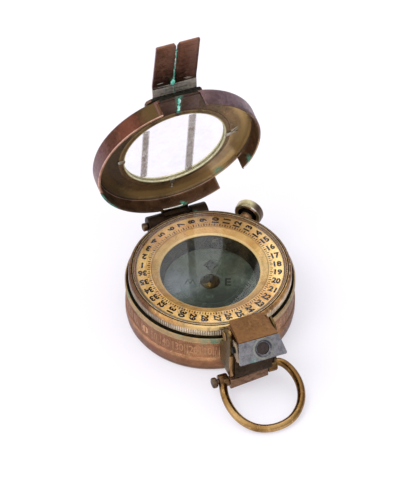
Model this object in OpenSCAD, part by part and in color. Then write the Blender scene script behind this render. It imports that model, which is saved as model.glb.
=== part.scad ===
// Liquid-card marching compass with a sighting lid, a folding prism
// and a thumb ring.  Millimetres, +Z up, +Y towards the lid hinge,
// origin at the centre of the underside.

/* [Case] */
// Outer diameter of the case
case_d = 60; // [58:0.5:62]
// Height of the case wall
case_h = 16.6; // [16:0.1:17]
// Depth of the recessed ornamental band in the wall
band_deep = 0.25; // [0.1:0.05:0.5]
// Diameter of the loose base disc
base_d = 52; // [48:1:53]

/* [Bezel and dial] */
// Diameter of the turning bezel over its knurl
bezel_d = 57.8; // [57:0.1:58.2]
// Height of the bezel's top face
bezel_top = 21.3; // [21.2:0.1:21.6]
// Diameter of the opening over the card
dial_open_d = 35.2; // [34:0.2:36.6]
// Diameter of the floating card
card_d = 32.4; // [28:0.2:34]
// Height of the card's underside
card_z = 13.6; // [12.8:0.1:14.2]

/* [Lid] */
// Outer diameter of the lid
lid_d = 60.8; // [60.4:0.1:61.6]
// Height of the lid's outer face when it is shut
lid_top = 24; // [23.8:0.1:24.4]
// Diameter of the sighting window
window_d = 37.4; // [34:0.2:38]
// Angle that the lid stands open in the stored pose
lid_open = 79.8; // [0:0.1:100]
// Reach of the sighting tongue from the centre of the case
tongue_reach = 51.45; // [50:0.05:54]
// Width of the sighting tongue
tongue_w = 16; // [14:0.2:16.2]
// Width of the slit in the tongue
slit_w = 0.6; // [0.4:0.1:1.2]

/* [Prism] */
// Lift of the focusing slide from its lowest position
slide_lift = 0; // [0:0.1:4]
// Angle of the prism housing, 0 folded out and 180 over the dial
prism_fold = 0; // [0:1:180]
// Radius of the eye hole
eye_r = 1.95; // [1.4:0.05:2.4]

/* [Thumb ring] */
// Radius of the ring to the middle of its wire
ring_r = 13.9; // [12.5:0.1:14.5]
// Diameter of the ring wire
wire_d = 2.85; // [2.4:0.05:3.1]

/* [Clamp screw] */
// Diameter of the clamp knob
knob_d = 10.2; // [9:0.1:10.6]
// Bearing of the clamp screw from +X
clamp_deg = 45; // [44:0.5:46]

/* [Hidden] */
case_r = case_d / 2;
bezel_r = bezel_d / 2;
open_r = dial_open_d / 2;
card_r = card_d / 2;
lid_r = lid_d / 2;
win_r = window_d / 2;
hinge_y = 33;
hinge_z = 14.45;
hinge_pin_r = 0.9;
knuckle_r = 2.05;
lug_r = 3.4;
run = 0.05;
// the spigot that the bezel turns on
spig_ro = case_r - 2.5;
spig_ri = case_r - 3.85;
spig_top = case_h + 2.4;
// flat top of the number ring, just under the bezel's glass
ring_top = 20.78;
// thumb ring pivot
rp_y = -38.6;
rp_z = 6.2;
ring_cx = 1.3;
ring_cy = -9.5;
wire_r = wire_d / 2;
// bearings of the two ends of the ring's arc
ring_a0 = 180 - asin((-ring_cy - 1.2) / ring_r);
ring_a1 = asin(-ring_cy / ring_r);
ring_dip = asin((rp_z - wire_r) / (ring_r - ring_cy));
// prism fold pivot
pf_y = -36;
pf_z = 25.6;
// the prism housing sits this far right of the middle of its slide
prism_dx = 1.2;
// the tongue sits this far right of the middle of the lid
tongue_dx = 0.9;
// eyepiece plate
ep_y = -43.9;
ep_z = 28.7;
ep_tilt = 55.5;
ep_len = 7.8;
eye_x = 0.9;
// clamp screw axis height
clamp_z = 17.4;

brass = "#8d6a3f";
gold = "#c9a768";
bronze = "#7a5540";
steelc = "#8b8d90";
glassc = [0.75, 0.85, 0.85, 0.35];

// ---------- helpers ----------
module spun(pts, n = 180) rotate_extrude($fn = n) polygon(pts);
module lid_pose() translate([0, hinge_y, hinge_z]) rotate([-lid_open, 0, 0])
  translate([0, -hinge_y, -hinge_z]) children();
module xrod(r, x0, x1, y, z, n = 48) translate([x0, y, z]) rotate([0, 90, 0])
  cylinder(r = r, h = x1 - x0, $fn = n);
// a profile drawn in (y, z), extruded from x0 to x1
module side(pts, x0, x1) translate([x0, 0, 0]) rotate([90, 0, 90])
  linear_extrude(x1 - x0) polygon(pts);
module at_clamp() rotate([0, 0, clamp_deg]) translate([0, 0, clamp_z])
  rotate([0, 90, 0]) children();
module carriage_pose() translate([0, 0, slide_lift]) children();
module prism_pose() carriage_pose() translate([0, pf_y, pf_z])
  rotate([-prism_fold, 0, 0]) translate([0, -pf_y, -pf_z]) children();
module ep_frame() translate([0, ep_y, ep_z]) rotate([ep_tilt, 0, 0]) children();
function ring_at(r, n, a0 = 0) =
  [for (i = [0:n - 1]) [r * cos(a0 + 360 * i / n), r * sin(a0 + 360 * i / n)]];

// ---------- case ----------
module case_body() color(bronze) difference() {
  spun([[0, 1.1], [base_d / 2 + 0.15, 1.1], [base_d / 2 + 0.15, 0],
    [case_r - 1.0, 0], [case_r - 0.4, 0.3], [case_r - 0.05, 1.2],
    [case_r, 2.2], [case_r, 6.3], [case_r - 0.3, 6.45], [case_r, 6.6],
    [case_r, 6.95], [case_r - band_deep, 7.1], [case_r - band_deep, 14.3],
    [case_r, 14.45], [case_r, case_h - 0.45], [case_r - 0.4, case_h],
    [spig_ro, case_h], [spig_ro, spig_top], [spig_ri, spig_top],
    [spig_ri, 15.8], [case_r - 5.4, 15.8], [case_r - 5.4, 15.0],
    [case_r - 3.0, 13.4], [case_r - 3.0, 2.4], [0, 2.4]]);
  // blind holes for the base screws
  for (p = ring_at(21, 4, 45)) translate([p[0], p[1], 1]) cylinder(r = 0.82, h = 3, $fn = 32);
  // filler hole in the side wall
  rotate([0, 0, 200]) translate([case_r - 4, 0, 10.7]) rotate([0, 90, 0]) cylinder(r = 1.62, h = 6, $fn = 48);
  // groove for the clamp screw in the rim
  at_clamp() translate([0, 0, spig_ro + 0.6]) cylinder(r = 1.36, h = 5, $fn = 48);
  // holes for the rail screws
  for (z = [10.6, 14.4]) translate([0, -case_r - 2, z]) rotate([-90, 0, 0]) cylinder(r = 0.72, h = 4.4, $fn = 32);
}
module base_plate() color(bronze) difference() {
  cylinder(r = base_d / 2, h = 1.05, $fn = 180);
  for (p = ring_at(21, 4, 45)) translate([p[0], p[1], 0]) {
    translate([0, 0, -1]) cylinder(r = 0.82, h = 3, $fn = 32);
    translate([0, 0, -0.01]) cylinder(r1 = 1.62, r2 = 0.82, h = 0.81, $fn = 48);
  }
}
module base_screws() color(steelc) for (p = ring_at(21, 4, 45)) translate([p[0], p[1], 0])
  difference() {
    union() {
      translate([0, 0, 0.1]) cylinder(r1 = 1.5, r2 = 0.8, h = 0.69, $fn = 48);
      translate([0, 0, 0.5]) cylinder(r = 0.8, h = 2.4, $fn = 32);
    }
    translate([-2, -0.15, -0.1]) cube([4, 0.3, 0.45]);
  }
module capsule_bowl() color(gold) spun([[0, 4.4], [20.4, 4.4], [20.4, 15.84],
  [case_r - 4.0, 15.84], [case_r - 4.0, 17.0], [20.4, 17.0], [20.4, 19.0],
  [19.5, 19.0], [19.5, 18.0], [18.5, 18.0], [18.5, 5.6], [0, 5.6]]);
module capsule_gasket() color("#3a3a36") spun([[18.6, 18.02], [19.4, 18.02], [19.4, 18.2], [18.6, 18.2]]);
module dial_glass() color(glassc) translate([0, 0, 18.22]) cylinder(r = 19.4, h = 0.76, $fn = 180);
module expansion_diaphragm() color(gold) spun([[0, 2.9], [6, 2.9], [7, 3.4], [9, 3.4], [10, 2.9],
  [12, 2.9], [13, 3.4], [15, 3.4], [16, 2.9], [19, 2.9], [19, 4.36], [18.2, 4.36], [18.2, 3.3],
  [16.2, 3.3], [15.2, 3.8], [12.8, 3.8], [11.8, 3.3], [10.2, 3.3], [9.2, 3.8], [6.8, 3.8],
  [5.8, 3.3], [0, 3.3]]);
module pivot_post() color(steelc) spun([[0, 5.62], [3, 5.62], [3, 6.6], [1.4, 7.4], [0.7, 8.4],
  [0.7, 12.6], [0.12, 14.3], [0, 14.3]], 64);
module number_ring() color(gold) spun([[open_r, 19.06], [20.45, 19.06], [20.45, 17.03],
  [case_r - 4.02, 17.03], [case_r - 4.0, ring_top], [20.7, ring_top], [open_r, 19.42]]);
module filler_plug() color(steelc) rotate([0, 0, 200]) translate([0, 0, 10.7]) rotate([0, 90, 0])
  difference() {
    union() {
      translate([0, 0, case_r - 3.4]) cylinder(r = 1.6, h = 3.25, $fn = 48);
    }
    translate([-2, -0.2, case_r - 0.5]) cube([4, 0.4, 1]);
  }

// ---------- bezel ----------
module bezel_ring() color(gold) spun([[bezel_r - 0.2, case_h + 0.5], [bezel_r, case_h + 0.75],
  [bezel_r, bezel_top - 1.2], [bezel_r - 0.15, bezel_top - 0.62], [bezel_r - 0.5, bezel_top - 0.18],
  [bezel_r - 0.95, bezel_top], [case_r - 3.15, bezel_top], [case_r - 3.15, ring_top - 0.08],
  [case_r - 3.8, ring_top - 0.08], [case_r - 3.8, spig_top + 0.25], [spig_ro + run, spig_top + 0.25],
  [spig_ro + run, case_h + 0.5]]);
module bezel_gasket() color("#3a3a36") spun([[case_r - 3.75, ring_top - 0.07], [case_r - 3.2, ring_top - 0.07],
  [case_r - 3.2, ring_top + 0.09], [case_r - 3.75, ring_top + 0.09]]);
module bezel_glass() color(glassc) translate([0, 0, ring_top + 0.1]) cylinder(r = case_r - 3.2, h = 0.38, $fn = 180);

// ---------- card ----------
module dial_card() color("#3f4a48") difference() {
  translate([0, 0, card_z]) cylinder(r = card_r, h = 0.5, $fn = 120);
  translate([0, 0, card_z - 1]) cylinder(r = 2.3, h = 3, $fn = 48);
}
module card_hub() color(gold) spun([[1.3, card_z - 1.3], [2.25, card_z - 1.3], [2.25, card_z + 0.52],
  [3.5, card_z + 0.52], [3.4, card_z + 0.9], [2.7, card_z + 1.6], [1.5, card_z + 2.0], [0, card_z + 2.1],
  [0, card_z + 1.6], [1.3, card_z + 1.4]], 72);
module jewel_cup() color("#b02a3a") spun([[0, card_z + 1.0], [0.3, card_z + 0.75], [1.25, card_z + 0.7],
  [1.25, card_z + 1.36], [0, card_z + 1.5]], 48);
module magnet_bars() color(steelc) for (s = [-1, 1]) translate([s * 4.6 - 0.8, -11, card_z - 1.62])
  cube([1.6, 22, 1.6]);

// ---------- lid hinge ----------
module hinge_base() color(bronze) difference() {
  union() {
    for (x = [-11.2, 5.15]) {
      xrod(lug_r, x, x + 6.05, hinge_y, hinge_z, 96);
      translate([x, 27, hinge_z - lug_r]) cube([6.05, hinge_y - 27, lug_r + 1.4]);
    }
    translate([-11.2, 27, hinge_z - lug_r]) cube([22.4, 3.75, lug_r + 1.4]);
  }
  translate([0, 0, -1]) cylinder(r = case_r + 0.02, h = 40, $fn = 180);
  xrod(hinge_pin_r + run, -20, 20, hinge_y, hinge_z);
}
module hinge_pin() color(brass) {
  xrod(hinge_pin_r, -11.9, 11.7, hinge_y, hinge_z);
  difference() {
    xrod(1.75, -13.3, -11.25, hinge_y, hinge_z);
    translate([-14, hinge_y - 0.2, hinge_z - 3]) cube([1.1, 0.4, 6]);
  }
}
module lid_leaf() color(brass) lid_pose() difference() {
  union() {
    xrod(knuckle_r, -5, 5, hinge_y, hinge_z);
    side([[30.1, 17.0], [30.1, 22.3], [31.4, 22.3], [32.0, 18.4], [34.7, 15.6], [33, 14.45],
      [31.3, 15.55], [31.15, 17.0]], -5, 5);
  }
  translate([0, 0, 10]) cylinder(r = lid_r + 0.02, h = 20, $fn = 180);
  xrod(hinge_pin_r + run, -20, 20, hinge_y, hinge_z);
  for (x = [-3, 3]) translate([x, 26, 20.6]) rotate([-90, 0, 0]) cylinder(r = 0.72, h = 10, $fn = 32);
}
module leaf_rivets() color(brass) lid_pose() for (x = [-3, 3]) translate([x, 29.15, 20.6])
  rotate([-90, 0, 0]) cylinder(r = 0.7, h = 2.9, $fn = 32);

// ---------- lid ----------
module lid_shell() color(bronze) lid_pose() difference() {
  spun([[win_r, lid_top], [win_r, lid_top - 0.6], [win_r + 1.1, lid_top - 0.6], [win_r + 1.1, lid_top - 1.6],
    [win_r + 3.4, lid_top - 1.6], [win_r + 5.6, lid_top - 1.25], [lid_r - 2.2, lid_top - 1.25],
    [lid_r - 1.3, lid_top - 1.6], [lid_r - 1.0, lid_top - 2.2], [lid_r - 1.0, case_h + 0.25],
    [lid_r - 0.15, case_h + 0.25], [lid_r, case_h + 0.45], [lid_r, lid_top - 1.1],
    [lid_r - 0.3, lid_top - 0.35], [lid_r - 1.0, lid_top]]);
  // cut-out in the skirt under the sighting tongue
  translate([-7.8, -lid_r - 2, 10]) cube([15.6, 8, lid_top - 1.6 - 10]);
  // notch in the skirt over the clamp screw
  rotate([0, 0, clamp_deg]) translate([lid_r - 6, -5.9, 10]) cube([8, 11.8, lid_top - 1.6 - 10]);
  // holes for rivets
  for (x = [-4, 4]) translate([x, -26.6, 20]) cylinder(r = 0.72, h = 6, $fn = 32);
  for (x = [-3, 3]) translate([x, 26, 20.6]) rotate([-90, 0, 0]) cylinder(r = 0.72, h = 10, $fn = 32);
}
module lid_glass() color(glassc) lid_pose() translate([0, 0, lid_top - 1.5])
  cylinder(r = win_r + 1.05, h = 0.86, $fn = 180);
module glass_retainer() color(gold) lid_pose() spun([[win_r + 0.05, lid_top - 2.0], [win_r + 2.2, lid_top - 2.0],
  [win_r + 2.2, lid_top - 1.62], [win_r - 0.05, lid_top - 1.62]]);
module glass_claws() color(brass) lid_pose() for (a = [0:90:270]) rotate([0, 0, a])
  translate([win_r - 0.1, -0.9, lid_top - 2.42]) cube([2.8, 1.8, 0.4]);
module sight_strips() color("#b3a593") lid_pose() {
  translate([-11.9, -14, lid_top - 1.72]) cube([2.1, 27.2, 0.2]);
  translate([4.9, -16.2, lid_top - 1.72]) cube([2.1, 28.6, 0.2]);
}
// side view of the folded tongue sheet: flange end, U fold, riser, leaves
fold_y = -23.9;
fold_z = 26.48;
tongue_sheet = concat(
  [for (a = [-90:13.7:74.4]) [fold_y + 1.5 * cos(a), fold_z + 1.5 * sin(a)]],
  [[-29.18, 29.51], [-tongue_reach, 28.89], [-tongue_reach + 0.02, 29.69], [-29.08, 30.31]],
  [for (a = [74.4:-13.7:-90]) [fold_y + 2.3 * cos(a), fold_z + 2.3 * sin(a)]]);
module sight_tongue() color(bronze) lid_pose() difference() {
  union() {
    translate([0, 0, lid_top + 0.02]) linear_extrude(1.28) polygon([[-11.6, -22.4], [-11.6, -26.9],
      [-11.0, -28.0], [-9.6, -28.7], [8.6, -28.7], [9.3, -28.0], [9.3, -22.4]]);
    intersection() {
      side(tongue_sheet, -9, 11);
      translate([tongue_dx, 0, 20]) linear_extrude(12) polygon([[-tongue_w / 2 - 0.15, -20], [-tongue_w / 2 - 0.15, -30],
        [-tongue_w / 2, -tongue_reach + 0.5], [-tongue_w / 2 + 0.5, -tongue_reach - 0.1], [tongue_w / 2 - 0.5, -tongue_reach - 0.1],
        [tongue_w / 2, -tongue_reach + 0.5], [tongue_w / 2 + 0.15, -30], [tongue_w / 2 + 0.15, -20]]);
    }
  }
  translate([0.5 - slit_w / 2, -tongue_reach - 1, 28]) cube([slit_w, tongue_reach - 30, 3]);
  translate([0.5, 0, 28]) linear_extrude(3) polygon([[-1.0, -tongue_reach - 0.11], [1.0, -tongue_reach - 0.11], [0, -tongue_reach + 1.7]]);
  for (x = [-4, 4]) translate([x, -26.6, 20]) cylinder(r = 0.72, h = 7, $fn = 32);
}
module tongue_rivets() color(brass) lid_pose() for (x = [-4, 4]) translate([x, -26.6, 0]) {
  translate([0, 0, lid_top - 1.1]) cylinder(r = 0.7, h = 2.6, $fn = 32);
  translate([0, 0, lid_top + 1.32]) cylinder(r1 = 1.25, r2 = 0.9, h = 0.5, $fn = 48);
}

// ---------- clamp ----------
module clamp_lug() color(bronze) difference() {
  rotate([0, 0, clamp_deg]) {
    translate([case_r - 2, -3.6, 9.6]) cube([3.7, 7.2, 5.6]);
    translate([case_r - 0.5, 0, clamp_z]) rotate([0, 90, 0]) cylinder(r = 2.3, h = 2.2, $fn = 72);
    translate([case_r - 0.5, -2.3, 14]) cube([2.2, 4.6, clamp_z - 14]);
  }
  translate([0, 0, -1]) cylinder(r = case_r + 0.02, h = case_h + 1, $fn = 180);
  translate([0, 0, case_h - 0.1]) cylinder(r = bezel_r + 0.5, h = 12, $fn = 180);
  at_clamp() cylinder(r = 1.3, h = 60, $fn = 48);
}
module clamp_screw() color(steelc) at_clamp() {
  translate([0, 0, bezel_r + 0.12]) cylinder(r1 = 0.8, r2 = 1.25, h = 0.5, $fn = 48);
  translate([0, 0, bezel_r + 0.6]) cylinder(r = 1.25, h = 4.2, $fn = 48);
}
module clamp_knob() color(brass) at_clamp() difference() {
  translate([0, 0, case_r + 2.0]) union() {
    cylinder(r = knob_d / 2 - 0.3, h = 3.8, $fn = 96);
    translate([0, 0, 0.5]) cylinder(r = knob_d / 2, h = 2.8, $fn = 96);
  }
  // hollow around the shank on the inner side
  translate([0, 0, case_r + 1.9]) difference() {
    cylinder(r = knob_d / 2 - 1.1, h = 1.9, $fn = 96);
    cylinder(r = 2.2, h = 3, $fn = 48);
  }
  translate([0, 0, case_r]) cylinder(r = 1.27, h = 3.75, $fn = 48);
}

// ---------- prism slide ----------
module rail_shape(g, h) linear_extrude(h) polygon([[-3.4 - g, 0], [3.4 + g, 0], [5.2 + g, -1.9 - g], [-5.2 - g, -1.9 - g]]);
module slide_rail() color(bronze) difference() {
  translate([0, -30.9, 8.2]) union() {
    translate([-4.6, 0, 0]) cube([9.2, 2.4, 8.2]);
    rail_shape(0, 8.2);
  }
  translate([0, 0, -1]) cylinder(r = case_r + 0.02, h = 40, $fn = 180);
  for (z = [10.6, 14.4]) translate([0, -34, z]) rotate([-90, 0, 0]) {
    cylinder(r = 0.72, h = 8, $fn = 32);
    cylinder(r = 1.35, h = 2.3, $fn = 48);
  }
}
module rail_screws() color(steelc) for (z = [10.6, 14.4]) translate([0, -32.4, z]) rotate([-90, 0, 0])
  difference() {
    union() { cylinder(r = 1.3, h = 0.68, $fn = 48); cylinder(r = 0.7, h = 4.6, $fn = 32); }
    translate([-2, -0.15, -0.1]) cube([4, 0.3, 0.45]);
  }
module slide_carriage() color(bronze) carriage_pose() difference() {
  union() {
    translate([-8.1, -34.6, 9.2]) cube([16.2 + prism_dx, 3.5, 9.0]);
    for (s = [-1, 1]) {
      side([[-33.4, 9.2], [-40.2, 9.2], [-40.6, 12], [-40.2, 17], [-40.4, 27.2], [-39.2, 28.4],
        [-35.2, 28.4], [-34.4, 27.4], [-33.4, 18.2]], s < 0 ? -8.1 : 7.22 + prism_dx, s < 0 ? -7.22 : 8.1 + prism_dx);
    }
  }
  translate([0, -30.9, 0]) rail_shape(0.07, 40);
  xrod(1.05, -20, 20, pf_y, pf_z);
}
module prism_spring() color(brass) carriage_pose() difference() {
  union() {
    translate([-6.9, -42.6, 9.4]) cube([13.8, 7.95, 0.5]);
    translate([-6.9, -42.6, 9.4]) cube([13.8, 0.5, 9.9]);
  }
  translate([0, -40, 15]) rotate([90, 0, 0]) cylinder(r = 2.4, h = 6, $fn = 48);
}
module prism_pivots() color(steelc) carriage_pose() {
  xrod(1.0, -8.6, prism_dx - 6.3, pf_y, pf_z);
  xrod(1.0, prism_dx + 6.3, prism_dx + 8.6, pf_y, pf_z);
  xrod(1.7, -8.62, -8.12, pf_y, pf_z);
  xrod(1.7, prism_dx + 8.12, prism_dx + 8.62, pf_y, pf_z);
  // spacer that keeps the housing to the right
  xrod(1.7, -7.2, prism_dx - 7.15, pf_y, pf_z);
}

// ---------- prism ----------
module prism_case() color(brass) prism_pose() translate([prism_dx, 0, 0]) difference() {
  union() {
    // cheeks
    for (s = [-1, 1])
      side([[-33.0, 27.6], [-33.0, 22.6], [-36.2, 20.2], [-44.2, 20.2], [-46.6, 22.4], [-42.85, 27.85]],
        s < 0 ? -7.1 : 6.4, s < 0 ? -6.4 : 7.1);
    // top plate
    translate([0, -31.9, 27.51]) rotate([-2.6, 0, 0]) linear_extrude(0.75)
      polygon([[-6.5, 0], [5.6, 0], [7.2, -11.8], [-7.2, -11.8]]);
    // inner wall with the sight opening
    translate([-6.5, -33.5, 22.6]) cube([13, 0.6, 5.2]);
    // floor
    translate([-6.5, -44.2, 20.2]) cube([13, 8.0, 0.6]);
  }
  xrod(1.05, -20, 20, pf_y, pf_z);
  translate([0, -30, 25.2]) rotate([90, 0, 0]) cylinder(r = 1.5, h = 6, $fn = 48);
  xrod(0.72, -20, 20, -42.3, 24.6, 32);
}
module eyepiece_plate() color("#8f9099") prism_pose() translate([prism_dx, 0, 0]) difference() {
  ep_frame() translate([0, 0, -1.15]) linear_extrude(1.15) polygon([[-7.3, -0.8], [7.4, -0.8], [8.9, -ep_len + 0.5],
    [8.6, -ep_len], [-8.3, -ep_len], [-8.5, -ep_len + 0.5]]);
  ep_frame() translate([eye_x, -3.9, 0]) {
    translate([0, 0, -3]) cylinder(r = eye_r, h = 4, $fn = 64);
    translate([0, 0, -0.75]) cylinder(r1 = eye_r + 0.25, r2 = 3.55, h = 0.76, $fn = 72);
  }
}
module eye_lens() color(glassc) prism_pose() translate([prism_dx, 0, 0]) ep_frame() translate([eye_x, -3.9, -1.75]) cylinder(r = 2.6, h = 0.5, $fn = 64);
module prism_glass() color(glassc) prism_pose() translate([prism_dx, 0, 0]) difference() {
  side([[-34.2, 22.2], [-37.0, 21.2], [-43.6, 21.2], [-44.2, 22.6], [-41.6, 26.6], [-34.2, 26.9]], -6.1, 6.1);
  xrod(1.3, -20, 20, pf_y, pf_z);
  xrod(1.0, -20, 20, -42.3, 24.6, 32);
}
module housing_screws() color("#2c2a28") prism_pose() translate([prism_dx, 0, 0]) for (s = [-1, 1]) {
  xrod(0.7, s < 0 ? -7.2 : 6.2, s < 0 ? -6.2 : 7.2, -42.3, 24.6, 32);
  xrod(1.25, s < 0 ? -7.62 : 7.12, s < 0 ? -7.12 : 7.62, -42.3, 24.6);
}

// ---------- thumb ring ----------
module ring_bracket() color(bronze) difference() {
  union() {
    side([[-28, 2.6], [-36.4, 2.6], [-37.0, 4.4], [-28, 4.4]], -6.2, 6.2);
    side([[-36.9, 4.3], [-37.1, 8.0], [-40.1, 8.0], [-40.3, 4.3], [-39.6, 3.9], [-36.4, 3.9]], -7.9, 6.4);
    translate([-6.2, -31.6, 2.6]) cube([12.4, 3, 4.6]);
  }
  translate([0, 0, -1]) cylinder(r = case_r + 0.02, h = 40, $fn = 180);
  xrod(1.0, -20, 20, rp_y, rp_z);
}
module ring_pin() color(brass) {
  xrod(0.95, -12.3, 9.1, rp_y, rp_z);
  difference() {
    xrod(1.9, -14.0, -12.2, rp_y, rp_z);
    translate([-15, rp_y - 0.25, rp_z - 3]) cube([1.4, 0.5, 6]);
  }
}
module thumb_ring() color("#b08038") translate([0, rp_y, rp_z]) rotate([ring_dip, 0, 0]) difference() {
  union() {
    translate([ring_cx, ring_cy, 0]) rotate([0, 0, ring_a0]) rotate_extrude(angle = 360 - ring_a0 + ring_a1, $fn = 120)
      translate([ring_r, 0]) circle(r = wire_r, $fn = 48);
    // eyes on the pin; the right one is blind, and the wire turns in to it
    xrod(2.4, -11.6, -8.1, 0, 0);
    xrod(2.0, 6.6, 10.2, 0, 0);
    xrod(1.6, 9.9, 12.9, 0, 0);
  }
  xrod(1.0, -12, 9.2, 0, 0);
}

case_body();
base_plate();
base_screws();
capsule_bowl();
capsule_gasket();
dial_glass();
expansion_diaphragm();
pivot_post();
number_ring();
hinge_base();
hinge_pin();
clamp_lug();
slide_rail();
rail_screws();
ring_bracket();
ring_pin();
filler_plug();
bezel_ring();
bezel_glass();
bezel_gasket();
dial_card();
card_hub();
jewel_cup();
magnet_bars();
lid_shell();
lid_glass();
glass_retainer();
glass_claws();
sight_strips();
sight_tongue();
tongue_rivets();
lid_leaf();
leaf_rivets();
clamp_screw();
clamp_knob();
slide_carriage();
prism_spring();
prism_pivots();
prism_case();
eyepiece_plate();
prism_glass();
eye_lens();
housing_screws();
thumb_ring();
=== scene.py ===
import math
from math import sin, cos, pi, radians, degrees, asin, atan2, hypot, sqrt, floor

import bpy
import bmesh
from mathutils import Matrix, Vector, noise
from mathutils.geometry import tessellate_polygon


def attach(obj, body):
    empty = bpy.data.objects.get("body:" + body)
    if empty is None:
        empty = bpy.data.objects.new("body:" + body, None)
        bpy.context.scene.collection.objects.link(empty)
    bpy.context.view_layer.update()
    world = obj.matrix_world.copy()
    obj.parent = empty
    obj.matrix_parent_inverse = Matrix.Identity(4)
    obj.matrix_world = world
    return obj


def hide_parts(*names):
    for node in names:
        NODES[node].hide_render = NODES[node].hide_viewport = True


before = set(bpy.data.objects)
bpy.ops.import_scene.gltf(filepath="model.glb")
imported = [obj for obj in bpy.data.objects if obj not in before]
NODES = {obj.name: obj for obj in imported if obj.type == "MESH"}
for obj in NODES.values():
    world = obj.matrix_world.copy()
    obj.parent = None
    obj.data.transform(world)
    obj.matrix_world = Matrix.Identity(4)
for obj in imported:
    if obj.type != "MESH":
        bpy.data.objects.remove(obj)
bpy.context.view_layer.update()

# ------------------------------------------------------------------ numbers
# millimetres, in the frame of the model
CASE_R = 30.0
HINGE_Y, HINGE_Z = 33.0, 14.45
LID_OPEN = 79.8
LID_TOP = 24.0
LID_R = 30.4
WIN_R = 18.7
CLAMP_DEG, CLAMP_Z = 45.0, 17.4
RP_Y, RP_Z = -38.6, 6.2
RING_R, WIRE_R = 13.9, 1.425
RING_DIP = asin((RP_Z - WIRE_R) / (RING_R + 9.5))
PRISM_DX = 1.2
PF_Y, PF_Z = -36.0, 25.6
EP_Y, EP_Z, EP_TILT, EP_LEN = -43.9, 28.7, radians(55.5), 7.8
RING_TOP = 20.78
CARD_N = 22.0          # bearing that the card's north mark points to

# ------------------------------------------------------------------ camera
CAM_A, CAM_E, CAM_ROLL = -0.35846740017513035, 0.8027448359275093, -0.004417911276966548
CAM_C = Vector((-340.7629, -904.5959, 1035.7533)) * 0.001


def camera():
    ca, sa, ce, se = cos(CAM_A), sin(CAM_A), cos(CAM_E), sin(CAM_E)
    b = Vector((sa * ce, -ca * ce, se))
    r0 = Vector((ca, sa, 0))
    u0 = b.cross(r0)
    c, s = cos(CAM_ROLL), sin(CAM_ROLL)
    r, u = r0 * c + u0 * s, -r0 * s + u0 * c
    cam = bpy.data.cameras.new("camera")
    cam.sensor_fit = "AUTO"
    cam.sensor_width = 36
    cam.lens = 36 * 4000 / 481
    cam.clip_start, cam.clip_end = 0.05, 20
    ob = bpy.data.objects.new("camera", cam)
    m = Matrix(((r.x, u.x, b.x, CAM_C.x), (r.y, u.y, b.y, CAM_C.y), (r.z, u.z, b.z, CAM_C.z), (0, 0, 0, 1)))
    ob.matrix_world = m
    bpy.context.scene.collection.objects.link(ob)
    bpy.context.scene.camera = ob


camera()


# ------------------------------------------------------------------ mesh code
class Part:
    """Vertices in millimetres and faces, with a material number for each face."""

    def __init__(self):
        self.v, self.f, self.m = [], [], []

    def add(self, vf, mat=0, M=None):
        v, f = vf
        o = len(self.v)
        if M is not None:
            v = [tuple(M @ Vector(p)) for p in v]
        self.v += [tuple(p) for p in v]
        self.f += [tuple(i + o for i in q) for q in f]
        self.m += [mat] * len(f)
        return self


def T(x, y, z):
    return Matrix.Translation((x, y, z))


def R(deg, axis):
    return Matrix.Rotation(radians(deg), 4, axis)


def axis_x(y=0.0, z=0.0):
    """Local z becomes +X, local x becomes +Y, local y becomes +Z."""
    return Matrix(((0, 0, 1, 0), (1, 0, 0, y), (0, 1, 0, z), (0, 0, 0, 1)))


LID = T(0, HINGE_Y, HINGE_Z) @ R(-LID_OPEN, "X") @ T(0, -HINGE_Y, -HINGE_Z)
CLAMP = R(CLAMP_DEG, "Z") @ T(0, 0, CLAMP_Z) @ R(90, "Y")
EPF = T(0, EP_Y, EP_Z) @ Matrix.Rotation(EP_TILT, 4, "X")
RINGF = T(0, RP_Y, RP_Z) @ Matrix.Rotation(RING_DIP, 4, "X")


def rnd(P, r=0.3, seg=4):
    """A closed outline with each corner rounded; a point may carry its own radius."""
    out, n = [], len(P)
    for i in range(n):
        p0, p1, p2 = P[i - 1], P[i], P[(i + 1) % n]
        rr = p1[2] if len(p1) > 2 else r
        a = Vector((p0[0] - p1[0], p0[1] - p1[1]))
        b = Vector((p2[0] - p1[0], p2[1] - p1[1]))
        la, lb = a.length, b.length
        if la < 1e-9 or lb < 1e-9:
            continue
        a /= la
        b /= lb
        dot = max(-1.0, min(1.0, a.dot(b)))
        ang = math.acos(dot)
        if rr <= 1e-6 or ang > pi - 0.02:
            out.append((p1[0], p1[1]))
            continue
        t = min(rr / math.tan(ang / 2), 0.46 * la, 0.46 * lb)
        rr = t * math.tan(ang / 2)
        bis = (a + b)
        bis.normalize()
        c = Vector((p1[0], p1[1])) + bis * (rr / sin(ang / 2))
        q0 = Vector((p1[0], p1[1])) + a * t - c
        q1 = Vector((p1[0], p1[1])) + b * t - c
        a0, a1 = atan2(q0.y, q0.x), atan2(q1.y, q1.x)
        d = a1 - a0
        while d > pi:
            d -= 2 * pi
        while d < -pi:
            d += 2 * pi
        for k in range(seg + 1):
            th = a0 + d * k / seg
            out.append((c.x + rr * cos(th), c.y + rr * sin(th)))
    return out


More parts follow.
